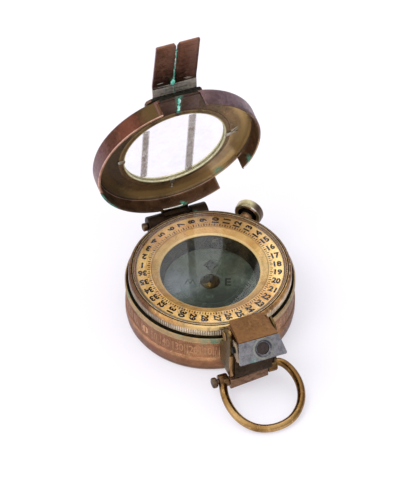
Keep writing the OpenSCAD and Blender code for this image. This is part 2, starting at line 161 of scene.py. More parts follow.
def spin(P, n=128, warp=None, closed=True):
    """A closed outline (r, z) turned about Z. warp(r, z, angle, i) may move a point."""
    v, rows = [], []
    for i, p in enumerate(P):
        if p[0] < 1e-6:
            rows.append([len(v)])
            v.append((0, 0, p[1]))
            continue
        row = []
        for k in range(n):
            th = 2 * pi * k / n
            r, z = p[0], p[1]
            if warp:
                r, z = warp(r, z, th, i)
            row.append(len(v))
            v.append((r * cos(th), r * sin(th), z))
        rows.append(row)
    f = []
    m = len(rows)
    for i in range(m if closed else m - 1):
        a, b = rows[i], rows[(i + 1) % m]
        if len(a) == 1 and len(b) == 1:
            continue
        for k in range(n):
            k2 = (k + 1) % n
            if len(a) == 1:
                f.append((a[0], b[k2], b[k]))
            elif len(b) == 1:
                f.append((a[k], a[k2], b[0]))
            else:
                f.append((a[k], a[k2], b[k2], b[k]))
    return v, f


def rod(r, x0, x1, bevel=0.12, n=40, seg=3):
    """A round bar along local z from x0 to x1 with rounded rims."""
    P = [(0, x0)]
    for k in range(seg + 1):
        a = pi / 2 * k / seg
        P.append((r - bevel + bevel * sin(a), x0 + bevel - bevel * cos(a)))
    for k in range(seg + 1):
        a = pi / 2 * k / seg
        P.append((r - bevel + bevel * cos(a), x1 - bevel + bevel * sin(a)))
    P.append((0, x1))
    return spin(P, n)


def _inset(P, d):
    n, out = len(P), []
    for i in range(n):
        p0, p1, p2 = Vector(P[i - 1]), Vector(P[i]), Vector(P[(i + 1) % n])
        e1, e2 = (p1 - p0), (p2 - p1)
        if e1.length < 1e-9 or e2.length < 1e-9:
            out.append(tuple(p1))
            continue
        e1.normalize()
        e2.normalize()
        n1, n2 = Vector((-e1.y, e1.x)), Vector((-e2.y, e2.x))
        bis = n1 + n2
        bis.normalize()
        out.append(tuple(p1 + bis * (d / max(0.4, bis.dot(n1)))))
    return out


def _area(P):
    return 0.5 * sum(P[i - 1][0] * P[i][1] - P[i][0] * P[i - 1][1] for i in range(len(P)))


def _clean(P, eps=1e-4):
    out = []
    for p in P:
        if not out or hypot(p[0] - out[-1][0], p[1] - out[-1][1]) > eps:
            out.append((p[0], p[1]))
    if hypot(out[0][0] - out[-1][0], out[0][1] - out[-1][1]) <= eps:
        out.pop()
    return out


def plate(outline, z0, z1, holes=(), bevel=0.12, seg=2):
    """A flat plate of that outline between z0 and z1, with rounded edges, also round its holes."""
    loops = [_clean(outline)] + [_clean(h) for h in holes]
    loops = [L if (_area(L) > 0) == (i == 0) else L[::-1] for i, L in enumerate(loops)]
    levels = []
    for k in range(seg + 1):
        a = pi / 2 * k / seg
        levels.append((bevel * (1 - sin(a)), z0 + bevel * (1 - cos(a))))
    for k in range(seg + 1):
        a = pi / 2 * k / seg
        levels.append((bevel * (1 - cos(a)), z1 - bevel * (1 - sin(a))))
    v, f = [], []
    rings = []
    for d, z in levels:
        row = []
        for L in loops:
            P = _inset(L, d) if d > 1e-9 else L
            row.append(list(range(len(v), len(v) + len(P))))
            v += [(p[0], p[1], z) for p in P]
        rings.append(row)
    for a, b in zip(rings, rings[1:]):
        for la, lb in zip(a, b):
            n = len(la)
            for k in range(n):
                k2 = (k + 1) % n
                f.append((la[k], la[k2], lb[k2], lb[k]))
    for row, flip in ((rings[0], True), (rings[-1], False)):
        polys = [[Vector(v[i]) for i in L] for L in row]
        flat = [i for L in row for i in L]
        for t in tessellate_polygon(polys):
            q = tuple(flat[i] for i in t)
            f.append(q[::-1] if flip else q)
    return v, f


def circle(r, n=48, x=0.0, y=0.0, a0=0.0):
    return [(x + r * cos(a0 + 2 * pi * k / n), y + r * sin(a0 + 2 * pi * k / n)) for k in range(n)]


def arc(r, d0, d1, n=24, x=0.0, y=0.0):
    return [(x + r * cos(radians(d0 + (d1 - d0) * k / n)), y + r * sin(radians(d0 + (d1 - d0) * k / n)), 0) for k in range(n + 1)]


def block(x0, x1, y0, y1, z0, z1, r=0.25, bevel=0.12, seg=3):
    return plate(rnd([(x0, y0), (x1, y0), (x1, y1), (x0, y1)], r, seg), z0, z1, bevel=bevel)


def side(P, x0, x1, r=0.3, bevel=0.12, holes=()):
    """A profile (y, z) between x0 and x1."""
    v, f = plate(rnd(P, r), x0, x1, holes=holes, bevel=bevel)
    M = axis_x()
    return [tuple(M @ Vector(p)) for p in v], f


def sweep(path, rad, n=20, cap=3, up=Vector((0, 0, 1))):
    """A round bar along a path of points; rad is a number or a function of the share 0 to 1."""
    pts = [Vector(p) for p in path]
    m = len(pts)
    rf = rad if callable(rad) else (lambda t: rad)
    tang = []
    for i in range(m):
        a, b = pts[max(0, i - 1)], pts[min(m - 1, i + 1)]
        tang.append((b - a).normalized())
    nrm = (up - tang[0] * up.dot(tang[0])).normalized()
    rings = []
    frames = []
    for i in range(m):
        if i:
            q = tang[i - 1].rotation_difference(tang[i])
            nrm = q @ nrm
        nrm = (nrm - tang[i] * nrm.dot(tang[i])).normalized()
        frames.append((pts[i], nrm.copy(), tang[i].cross(nrm)))
        rings.append((pts[i], nrm.copy(), tang[i].cross(nrm), rf(i / (m - 1))))
    full = []
    p, a, b, r = rings[0]
    for k in range(cap, 0, -1):
        th = pi / 2 * k / (cap + 1)
        full.append((p - tang[0] * r * sin(th) * 0.8, a, b, r * cos(th)))
    full += rings
    p, a, b, r = rings[-1]
    for k in range(1, cap + 1):
        th = pi / 2 * k / (cap + 1)
        full.append((p + tang[-1] * r * sin(th) * 0.8, a, b, r * cos(th)))
    v, f, rows = [], [], []
    for p, a, b, r in full:
        rows.append(range(len(v), len(v) + n))
        for k in range(n):
            th = 2 * pi * k / n
            v.append(tuple(p + a * r * cos(th) + b * r * sin(th)))
    for r0, r1 in zip(rows, rows[1:]):
        for k in range(n):
            k2 = (k + 1) % n
            f.append((r0[k], r0[k2], r1[k2], r1[k]))
    v.append(tuple(full[0][0] - tang[0] * rings[0][3] * 0.12))
    v.append(tuple(full[-1][0] + tang[-1] * rings[-1][3] * 0.12))
    s, e = len(v) - 2, len(v) - 1
    for k in range(n):
        k2 = (k + 1) % n
        f.append((rows[0][k2], rows[0][k], s))
        f.append((rows[-1][k], rows[-1][k2], e))
    return v, f


def smooth_path(P, n=120):
    """Points along a Catmull-Rom curve through P, evenly spaced."""
    P = [Vector(p) for p in P]
    Q = [P[0] * 2 - P[1]] + P + [P[-1] * 2 - P[-2]]
    raw = []
    for i in range(1, len(Q) - 2):
        for k in range(24):
            t = k / 24
            a, b, c, d = Q[i - 1], Q[i], Q[i + 1], Q[i + 2]
            raw.append(0.5 * ((2 * b) + (c - a) * t + (2 * a - 5 * b + 4 * c - d) * t * t + (3 * b - a - 3 * c + d) * t ** 3))
    raw.append(P[-1])
    L = [0.0]
    for a, b in zip(raw, raw[1:]):
        L.append(L[-1] + (b - a).length)
    out, j = [], 0
    for k in range(n):
        s = L[-1] * k / (n - 1)
        while j < len(L) - 2 and L[j + 1] < s:
            j += 1
        t = (s - L[j]) / max(1e-9, L[j + 1] - L[j])
        out.append(raw[j].lerp(raw[j + 1], min(1, max(0, t))))
    return out


def _object(vf, name="scratch"):
    me = bpy.data.meshes.new(name)
    me.from_pydata([tuple(p) for p in vf[0]], [], [tuple(q) for q in vf[1]])
    bm = bmesh.new()
    bm.from_mesh(me)
    bmesh.ops.remove_doubles(bm, verts=bm.verts, dist=1e-5)
    bmesh.ops.recalc_face_normals(bm, faces=bm.faces)
    bm.to_mesh(me)
    bm.free()
    ob = bpy.data.objects.new(name, me)
    bpy.context.scene.collection.objects.link(ob)
    return ob


def boolean(a, cutters, op="DIFFERENCE"):
    """a cut by, or joined with, each of the cutters."""
    oa = _object(a)
    obs = [_object(c) for c in cutters]
    for i, ob in enumerate(obs):
        md = oa.modifiers.new(f"b{i}", "BOOLEAN")
        md.operation, md.object, md.solver = op, ob, "EXACT"
    dg = bpy.context.evaluated_depsgraph_get()
    me = bpy.data.meshes.new_from_object(oa.evaluated_get(dg))
    v = [tuple(x.co) for x in me.vertices]
    f = [tuple(p.vertices) for p in me.polygons]
    for ob in [oa] + obs:
        old = ob.data
        bpy.data.objects.remove(ob)
        bpy.data.meshes.remove(old)
    bpy.data.meshes.remove(me)
    return v, f


_glyphs = {}


def glyph(s, depth=0.2, bold=0.0):
    """The outline of a number or letter as a closed slab, 1 high, its centre at the origin."""
    if (s, depth, bold) in _glyphs:
        return _glyphs[(s, depth, bold)]
    cu = bpy.data.curves.new("glyph", "FONT")
    cu.body, cu.size, cu.extrude, cu.resolution_u = s, 1.0, depth / 2, 3
    cu.offset = bold
    ob = bpy.data.objects.new("glyph", cu)
    bpy.context.scene.collection.objects.link(ob)
    dg = bpy.context.evaluated_depsgraph_get()
    me = bpy.data.meshes.new_from_object(ob.evaluated_get(dg))
    bm = bmesh.new()
    bm.from_mesh(me)
    bmesh.ops.remove_doubles(bm, verts=bm.verts, dist=1e-4)
    bm.to_mesh(me)
    bm.free()
    v = [tuple(x.co) for x in me.vertices]
    f = [tuple(p.vertices) for p in me.polygons]
    xs, ys = [p[0] for p in v], [p[1] for p in v]
    cx, cy, h = (min(xs) + max(xs)) / 2, (min(ys) + max(ys)) / 2, max(ys) - min(ys)
    w = (max(xs) - min(xs)) / h
    v = [((p[0] - cx) / h, (p[1] - cy) / h, p[2]) for p in v]
    bpy.data.objects.remove(ob)
    bpy.data.curves.remove(cu)
    bpy.data.meshes.remove(me)
    _glyphs[(s, depth, bold)] = (v, f, w)
    return _glyphs[(s, depth, bold)]


def weather(v, amp, scale, seed=0.0):
    """Moves each point a little along smooth noise, so that old metal isn't ruler-straight."""
    out = []
    for p in v:
        q = Vector(p)
        d = noise.noise_vector(q * scale + Vector((seed, seed * 1.7, -seed)))
        out.append(tuple(q + d * amp))
    return out


PIECES = []


def piece(name, part, mats, body, repl=(), angle=32, pose=None, keep=()):
    """Makes the object: welded, normals outward, posed, in metres, and riding on its body."""
    if isinstance(part, tuple):
        part = Part().add(part)
    me = bpy.data.meshes.new(name)
    me.from_pydata(part.v, [], part.f)
    me.polygons.foreach_set("material_index", part.m)
    bm = bmesh.new()
    bm.from_mesh(me)
    bmesh.ops.remove_doubles(bm, verts=bm.verts, dist=2e-4)
    bmesh.ops.dissolve_degenerate(bm, edges=bm.edges, dist=1e-5)
    bmesh.ops.recalc_face_normals(bm, faces=bm.faces)
    bm.to_mesh(me)
    bm.free()
    if pose is not None:
        me.transform(pose)
    me.transform(Matrix.Scale(0.001, 4))
    me.polygons.foreach_set("use_smooth", [True] * len(me.polygons))
    me.set_sharp_from_angle(angle=radians(angle))
    for m in (mats if isinstance(mats, (list, tuple)) else [mats]):
        me.materials.append(m)
    me.update()
    ob = bpy.data.objects.new(name, me)
    bpy.context.scene.collection.objects.link(ob)
    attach(ob, body)
    if repl:
        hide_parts(*repl)
    PIECES.append(ob)
    return ob


# ------------------------------------------------------------------ materials
def lin(h):
    h = h.lstrip("#")
    out = []
    for i in (0, 2, 4):
        c = int(h[i:i + 2], 16) / 255
        out.append(c / 12.92 if c <= 0.04045 else ((c + 0.055) / 1.055) ** 2.4)
    return (*out, 1.0)


class Mat:
    """A material's node tree, written a node at a time."""

    def __init__(self, name):
        self.m = bpy.data.materials.new(name)
        self.m.use_nodes = True
        self.t = self.m.node_tree
        self.t.nodes.clear()
        self.out = self.t.nodes.new("ShaderNodeOutputMaterial")
        tc = self.t.nodes.new("ShaderNodeTexCoord")
        self.obj = tc.outputs["Object"]
        self.mm = self.vscale(self.obj, (1000, 1000, 1000))

    def node(self, kind, ins=None, **attrs):
        n = self.t.nodes.new("ShaderNode" + kind)
        for k, x in attrs.items():
            setattr(n, k, x)
        for k, x in (ins or {}).items():
            s = n.inputs[k]
            if isinstance(x, bpy.types.NodeSocket):
                self.t.links.new(x, s)
            else:
                s.default_value = x
        return n

    def vscale(self, vec, sc, off=(0, 0, 0), rot=(0, 0, 0)):
        n = self.node("Mapping", {"Vector": vec, "Scale": sc, "Location": off, "Rotation": rot})
        return n.outputs["Vector"]

    def noise(self, scale, detail=4, rough=0.55, dist=0.0, vec=None):
        n = self.node("TexNoise", {"Vector": vec or self.mm, "Scale": scale, "Detail": detail, "Roughness": rough, "Distortion": dist})
        return n.outputs["Fac"]

    def voronoi(self, scale, vec=None, feature="F1"):
        n = self.node("TexVoronoi", {"Vector": vec or self.mm, "Scale": scale}, feature=feature)
        return n.outputs["Distance"]

    def ramp(self, fac, stops):
        n = self.node("ValToRGB", {"Fac": fac})
        e = n.color_ramp.elements
        while len(e) < len(stops):
            e.new(0.5)
        for el, (p, c) in zip(e, stops):
            el.position = p
            el.color = c if isinstance(c, (tuple, list)) else (c, c, c, 1)
        return n.outputs["Color"]

    def mix(self, fac, a, b, blend="MIX"):
        n = self.t.nodes.new("ShaderNodeMix")
        n.data_type, n.blend_type = "RGBA", blend
        n.clamp_factor = True
        for s, x in ((n.inputs[0], fac), (n.inputs[6], a), (n.inputs[7], b)):
            if isinstance(x, bpy.types.NodeSocket):
                self.t.links.new(x, s)
            else:
                s.default_value = x
        return n.outputs[2]

    def math(self, op, a, b=0.0, c=0.0, clamp=False):
        n = self.node("Math", operation=op, use_clamp=clamp)
        for s, x in zip(n.inputs, (a, b, c)):
            if isinstance(x, bpy.types.NodeSocket):
                self.t.links.new(x, s)
            else:
                s.default_value = x
        return n.outputs[0]

    def mapr(self, v, a, b, c=0.0, d=1.0, smooth=True):
        n = self.node("MapRange", {"Value": v, "From Min": a, "From Max": b, "To Min": c, "To Max": d},
                      interpolation_type="SMOOTHSTEP" if smooth else "LINEAR")
        return n.outputs["Result"]

    def near(self, p, r, soft=0.6):
        """1 close to the point p (mm), 0 beyond r."""
        n = self.node("VectorMath", {0: self.mm, 1: p}, operation="DISTANCE")
        return self.mapr(n.outputs["Value"], r, r * (1 - soft))

    def shut(self):
        """The point as it lies on the shut lid, in mm."""
        h = Vector((0, HINGE_Y, HINGE_Z))
        off = h - R(LID_OPEN, "X").to_3x3() @ h
        return self.vscale(self.mm, (1, 1, 1), tuple(off), (radians(LID_OPEN), 0, 0))

    def radius(self, vec=None):
        """Distance from the middle axis, in mm."""
        n = self.node("VectorMath", {0: vec or self.mm, 1: (1, 1, 0)}, operation="MULTIPLY")
        return self.node("VectorMath", {0: n.outputs["Vector"]}, operation="LENGTH").outputs["Value"]

    def band(self, x, lo, hi, soft=0.3):
        """1 for x between lo and hi, 0 outside."""
        return self.math("MULTIPLY", self.mapr(x, lo - soft, lo + soft), self.mapr(x, hi + soft, hi - soft))

    def xyz(self, vec=None):
        n = self.node("SeparateXYZ", {0: vec or self.mm})
        return n.outputs[0], n.outputs[1], n.outputs[2]

    def bump(self, height, strength=0.3, dist=0.0001, normal=None):
        ins = {"Height": height, "Strength": strength, "Distance": dist}
        if normal is not None:
            ins["Normal"] = normal
        return self.node("Bump", ins).outputs["Normal"]

    def finish(self, shader):
        self.t.links.new(shader, self.out.inputs["Surface"])
        return self.m


def srgb_mix(a, b, t):
    return tuple(x * (1 - t) + y * t for x, y in zip(a, b))


VERD = ("#2f8f78", "#7cc4ae", "#1f5f52")


def aged(name, col, dark, lite=None, rough=(0.30, 0.48), metal=1.0, patch=(0.16, 0.42, 0.66), fine=0.18,
         verd=(), verd_all=0.0, bump=0.35, scratch=0.35, wear=0.0, grime=None, shade_at=(), tint=None, tint_at=(),
         coat=0.0, spots=0.0, stretch=(1, 1, 1), highlight_at=(), zones=(), frame_of=None):
    """Old metal. col and dark are its two patina colours, lite shows where it is rubbed and is also laid as painted
    highlights at the highlight_at spots, verd lists (x, y, z, radius, strength) where green corrosion sits, shade_at
    gives spots where the grime colour is laid as painted shade (and then only there), and shade_at, tint_at,
    highlight_at list (x, y, z, radius, strength)."""
    m = Mat(name)
    vec = m.vscale(m.mm, stretch) if stretch != (1, 1, 1) else m.mm
    big = m.noise(patch[0], 5, 0.6, 0.6, vec)
    mid = m.noise(0.9, 4, 0.6, 0.3, vec)
    small = m.noise(5.5, 3, 0.6)
    c = m.mix(m.mapr(big, patch[1], patch[2]), lin(col), lin(dark))
    c = m.mix(m.math("MULTIPLY", m.mapr(mid, 0.45, 0.72), 0.55), c, lin(dark))
    if lite:
        streak = m.noise(0.5, 4, 0.6, 1.2, m.vscale(m.mm, (1.4, 0.7, 1.0), (7, 3, 1)))
        c = m.mix(m.math("MULTIPLY", m.mapr(streak, 0.52, 0.74), 0.5), c, lin(lite))
    for (x, y, z, r, s) in tint_at:
        c = m.mix(m.math("MULTIPLY", m.near((x, y, z), r, 0.9), s), c, lin(tint))
    # painted highlights at the listed spots
    for (x, y, z, r, s) in highlight_at:
        c = m.mix(m.math("MULTIPLY", m.near((x, y, z), r, 0.9), s), c, lin(lite))
    if zones:
        local = m.shut() if frame_of == "lid" else m.mm
        rad = m.radius(local)
        zx, zy, zz = m.xyz(local)
        front = m.math("ADD", m.math("MULTIPLY", zx, -0.25), m.math("MULTIPLY", zy, -0.97))
        for (kind, lo, hi, soft, zc, zs) in zones:
            q = {"r": rad, "x": zx, "y": zy, "z": zz, "f": front}[kind]
            wob = m.math("ADD", q, m.math("MULTIPLY", m.math("SUBTRACT", mid, 0.5), soft * 2.0))
            c = m.mix(m.math("MULTIPLY", m.band(wob, lo, hi, soft), zs), c, lin(zc))
    if wear and lite:
        geo = m.node("NewGeometry")
        edge = m.mapr(geo.outputs["Pointiness"], 0.505, 0.53)
        edge = m.math("MULTIPLY", edge, m.mapr(mid, 0.30, 0.62, 0.35, 1.0))
        c = m.mix(m.math("MULTIPLY", edge, wear), c, lin(lite))
        pit = m.mapr(geo.outputs["Pointiness"], 0.497, 0.475)
        c = m.mix(m.math("MULTIPLY", pit, 0.65), c, srgb_mix(lin(dark), (0, 0, 0, 1), 0.5))
    c = m.mix(fine, c, m.ramp(small, [(0.35, 0.25), (0.62, 0.85)]), "OVERLAY")
    grime_and_shade = None
    if grime:
        g = m.mapr(m.noise(0.35, 5, 0.65, 0.8, m.vscale(m.mm, (1, 1, 1), (31, 11, 5))), 0.5, 0.68)
        # with spots given, the grime colour goes only to them, as painted shade
        loc = None
        for (x, y, z, r, s) in shade_at:
            q = m.math("MULTIPLY", m.near((x, y, z), r, 0.85), s)
            loc = q if loc is None else m.math("MAXIMUM", loc, q)
        grime_and_shade = m.math("MULTIPLY", g, 0.45) if loc is None else m.math("MULTIPLY", m.mapr(g, 0, 1, 0.35, 1.0), loc)
        c = m.mix(grime_and_shade, c, lin(grime))
    vm = None
    if verd or verd_all:
        vn = m.noise(0.55, 6, 0.7, 0.6, m.vscale(m.mm, (1, 1, 1), (3, 17, 9)))
        if verd_all:
            vm = m.math("MULTIPLY", m.mapr(vn, 0.60, 0.72), verd_all)
        for (x, y, z, r, s) in verd:
            q = m.math("MULTIPLY", m.near((x, y, z), r, 0.8), m.mapr(vn, 0.36, 0.56))
            q = m.math("MULTIPLY", q, s)
            vm = q if vm is None else m.math("MAXIMUM", vm, q)
        vc = m.ramp(m.noise(2.2, 4, 0.6), [(0.30, lin(VERD[2])), (0.5, lin(VERD[0])), (0.72, lin(VERD[1]))])
        c = m.mix(vm, c, vc)
    rr = m.mapr(m.noise(0.8, 4, 0.6, 0.4, m.vscale(m.mm, (1, 1, 1), (13, 5, 2))), 0.3, 0.7, rough[0], rough[1])
    if grime_and_shade is not None:
        rr = m.math("ADD", rr, m.math("MULTIPLY", grime_and_shade, 0.2), clamp=True)
    if vm is not None:
        rr = m.mix(vm, rr, (0.85, 0.85, 0.85, 1))
    h = m.math("MULTIPLY", small, 0.5)
    h = m.math("ADD", h, m.math("MULTIPLY", mid, 1.2))
    if scratch:
        s1 = m.noise(1.0, 3, 0.7, 0.2, m.vscale(m.mm, (0.35, 9.0, 6.0), (0, 0, 0), (0.2, 0.3, 0.5)))
        s2 = m.noise(1.0, 3, 0.7, 0.2, m.vscale(m.mm, (8.0, 0.4, 5.0), (4, 2, 1), (0.1, -0.4, 0.35)))
        h = m.math("ADD", h, m.math("MULTIPLY", m.math("ADD", s1, s2), scratch))
    if vm is not None:
        h = m.math("ADD", h, m.math("MULTIPLY", vm, 1.6))
    nb = m.bump(h, bump, 0.00006)
    if metal >= 0.999 and vm is None and grime_and_shade is None:
        mt = 1.0
    else:
        mt = m.math("MULTIPLY", metal, m.math("SUBTRACT", 1.0, m.math("MULTIPLY", vm, 0.95) if vm is not None else 0.0, clamp=True))
        if grime_and_shade is not None:
            mt = m.math("MULTIPLY", mt, m.math("SUBTRACT", 1.0, m.math("MULTIPLY", grime_and_shade, 0.7), clamp=True))
    ins = {"Base Color": c, "Metallic": mt, "Roughness": rr, "Normal": nb}
    if coat:
        ins["Coat Weight"] = coat
        ins["Coat Roughness"] = 0.25
    return m.finish(m.node("BsdfPrincipled", ins).outputs["BSDF"])


def paint(name, col, dark, rough=0.6, scale=1.2, bump=0.3, spec=0.4):
    """A dull coat or filling: ink in a figure, rubber, corrosion, and flat paint laid as painted shade and painted
    highlights.
    """
    m = Mat(name)
    n1, n2 = m.noise(scale, 5, 0.6, 0.4), m.noise(scale * 6, 3, 0.6)
    c = m.mix(m.mapr(n1, 0.38, 0.66), lin(col), lin(dark))
    c = m.mix(0.2, c, m.ramp(n2, [(0.35, 0.2), (0.65, 0.9)]), "OVERLAY")
    rr = m.mapr(n1, 0.3, 0.7, rough - 0.1, min(1.0, rough + 0.12))
    nb = m.bump(n2, bump, 0.00004)
    return m.finish(m.node("BsdfPrincipled", {"Base Color": c, "Roughness": rr, "Normal": nb, "Specular IOR Level": spec}).outputs["BSDF"])


def pane(name, tint, reflect=1.6, haze=(0.0, 0.0), haze_col="#b8bdb0", haze_at=()):
    """Clear old glass: light goes straight through, the near face reflects, and a faint film of dirt lies on it."""
    m = Mat(name)
    geo = m.node("NewGeometry")
    front = m.math("SUBTRACT", 1.0, geo.outputs["Backfacing"])
    fr = m.node("Fresnel", {"IOR": reflect}).outputs["Fac"]
    fac = m.math("MULTIPLY", fr, front)
    smear = m.noise(0.22, 5, 0.65, 0.9)
    tr = m.node("BsdfTransparent", {"Color": m.mix(m.mapr(smear, 0.35, 0.7), lin(tint), (0.99, 0.995, 0.993, 1))})
    gl = m.node("BsdfGlossy", {"Color": (1, 1, 1, 1), "Roughness": m.mapr(smear, 0.3, 0.7, 0.01, 0.05)})
    sh = m.node("MixShader", {0: fac, 1: tr.outputs["BSDF"], 2: gl.outputs["BSDF"]})
    if haze[1] > 0:
        hz = m.mapr(m.noise(0.5, 6, 0.7, 0.5), 0.42, 0.72, haze[0], haze[1])
        for (x, y, z, r, s) in haze_at:
            hz = m.math("ADD", hz, m.math("MULTIPLY", m.near((x, y, z), r, 0.9), s), clamp=True)
        hz = m.math("MULTIPLY", hz, front)
        df = m.node("BsdfDiffuse", {"Color": lin(haze_col)})
        sh = m.node("MixShader", {0: hz, 1: sh.outputs[0], 2: df.outputs["BSDF"]})
    return m.finish(sh.outputs[0])


def film(name, col, dark, cover):
    """A thin strip that lets some light through, more so at its long edges."""
    m = Mat(name)
    local = m.shut()
    x, y, z = m.xyz(local)
    c = m.mix(m.mapr(m.noise(0.7, 5, 0.65), 0.35, 0.65), lin(col), lin(dark))
    edge = None
    for x0, w in ((-12.4, 2.6), (4.5, 2.9)):
        q = m.math("SUBTRACT", x, m.math("MULTIPLY", y, 0.012))
        b = m.band(q, x0 + 0.35, x0 + w - 0.35, 0.4)
        edge = b if edge is None else m.math("MAXIMUM", edge, b)
    a = m.math("MULTIPLY", m.mapr(edge, 0.0, 1.0, 0.45, 1.0), m.mapr(m.noise(0.5, 4, 0.6, 0.5), 0.3, 0.7, cover - 0.12, cover + 0.14))
    df = m.node("BsdfPrincipled", {"Base Color": c, "Roughness": 0.7, "Specular IOR Level": 0.2})
    tr = m.node("BsdfTransparent", {"Color": (1, 1, 1, 1)})
    return m.finish(m.node("MixShader", {0: a, 1: tr.outputs["BSDF"], 2: df.outputs["BSDF"]}).outputs[0])


def crystal(name, tint, rough=0.02):
    m = Mat(name)
    n1 = m.noise(0.6, 4, 0.6)
    c = m.mix(m.mapr(n1, 0.35, 0.7), lin(tint), (0.95, 0.97, 0.97, 1))
    return m.finish(m.node("BsdfPrincipled", {"Base Color": c, "Roughness": rough, "Transmission Weight": 1.0, "IOR": 1.5,
                                              "Normal": m.bump(n1, 0.05, 0.00003)}).outputs["BSDF"])


def lidp(x, y, z):
    """A point of the shut lid, in the stored pose, in mm."""
    return tuple(LID @ Vector((x, y, z)))


def spots(pts):
    return [(*lidp(x, y, z), r, s) for (x, y, z, r, s) in pts]


# wall patina: the darkening towards the bottom, the darker left and right sides and the purplish tint spots on the
# sides are painted shade
M_CASE = aged("case_patina", "#c48f68", "#8c6042", "#e4b484", rough=(0.34, 0.50), grime="#6a5c3c", wear=0.65, patch=(0.14, 0.42, 0.66),
              zones=[("z", -1.0, 5.7, 0.5, "#6a452f", 0.6), ("z", -1.0, 2.6, 0.8, "#4f3424", 0.5), ("x", -40, -21, 6, "#74504a", 0.5), ("x", 17, 40, 6, "#5f423c", 0.75), ("z", 14.4, 17.0, 0.35, "#a8a478", 0.45)],
              tint="#5d3c40", tint_at=[(-29, 6, 8, 13, 0.45), (28, -2, 8, 16, 0.6)],
              verd=[(-5.7, -29.4, 10.0, 2.0, 0.8), (-5.7, -29.4, 6.0, 1.8, 0.7), (-5.6, -29.4, 15.2, 2.8, 0.9), (-12.5, -27.2, 16.4, 3.0, 0.5), (-9, -28.6, 16.2, 3.2, 0.7),
                    (-20, -22, 16.4, 2.5, 0.4), (-29, 2, 15.8, 3, 0.5), (22, -19, 15.8, 3, 0.3)], verd_all=0.03)
# dark paint standing in for shade in grooves, in the tongue's fold and under the lid's edge
M_SHADE = paint("painted_shade_dark", "#26241b", "#100f0b", 0.8, spec=0.15)
M_VERD = paint("green_corrosion", "#6fa898", "#3b7f6c", 0.85, spec=0.2)
M_VERDLIGHT = paint("green_corrosion_pale", "#a2f2dc", "#58cdb0", 0.75, spec=0.25)
# a pale colour for painted highlight lines and patches
M_HIGHLIGHT = aged("painted_highlight_pale", "#d9d2c8", "#a8a098", "#f0ece6", rough=(0.3, 0.42))
# band figures: the darker left and right sides and the tint spot on the right are painted shade, and the light spot by
# the left arm is a painted highlight
M_BAND = aged("band_figures", "#c08e66", "#96704e", "#d4a87c", rough=(0.36, 0.5), wear=0.25, patch=(0.2, 0.42, 0.66), zones=[("x", -40, -21, 6, "#74504a", 0.5), ("x", 17, 40, 6, "#5f423c", 0.75)],
              tint="#5d3c40", tint_at=[(28, -2, 8, 16, 0.5)],
              verd=[(-5.7, -29.4, 10.0, 2.2, 0.7), (-12.5, -27.2, 14.5, 3.0, 0.4)], highlight_at=[(-7.8, -29, 8.8, 3.4, 0.9)], verd_all=0.03)
# bezel: the spots on the front shoulder are painted highlights, the darker back and sides are painted shade, and the
# grey ring on the top face is a painted reflection
M_BEZEL = aged("bezel_brass", "#bd8e58", "#7a5438", "#ffdf9e", rough=(0.22, 0.38), wear=0.5, grime="#4c3a2a", verd_all=0.02,
               highlight_at=[(-12, -26, 21, 13, 0.45), (-2, -28.5, 19.5, 11, 0.5)],
               zones=[("f", -40, 12, 6, "#6b4434", 0.75), ("f", -40, -8, 8, "#4a2c24", 0.6), ("x", -40, -25.5, 2.0, "#4a2c26", 0.7), ("x", 26.5, 40, 2.0, "#5a3a30", 0.6), ("r", 26.8, 27.35, 0.1, "#80705f", 0.55)])
# number ring: the darker back and the darker spots are a painted reflection of the dark lid, and the lighter right
# side is a painted highlight
M_SCALE = aged("scale_gold", "#ffcf86", "#d2954c", "#fff0c0", rough=(0.30, 0.46), metal=0.92, patch=(0.11, 0.44, 0.70), fine=0.12, grime="#7a5a3c",
               shade_at=[(-17, -15, 20.8, 12, 0.8), (-6, -22, 20.8, 10, 0.5), (-16, 17, 20.8, 9, 0.5), (6, -24, 20.8, 9, 0.5), (16, 16, 20.8, 10, 0.5)],
               zones=[("f", -30, -12, 7, "#a8704a", 0.5), ("r", 25.6, 27.0, 0.12, "#8d7464", 0.5), ("r", 20.4, 20.85, 0.1, "#94683a", 0.6), ("r", 22.3, 22.5, 0.06, "#a87444", 0.5), ("r", 17.5, 18.4, 0.15, "#ffe2ae", 0.5), ("x", 18.5, 40, 5, "#ffdfa8", 0.2)],
               tint="#b06c40", tint_at=[(-23, 4, 20.8, 10, 0.22), (22.5, -6, 20.8, 9, 0.05), (10, -20, 20.8, 10, 0.35), (0, -19, 20, 9, 0.4)], bump=0.2, scratch=0.25)
M_INK = paint("figure_ink", "#1e0e1c", "#0c060b", 0.65, spec=0.1)
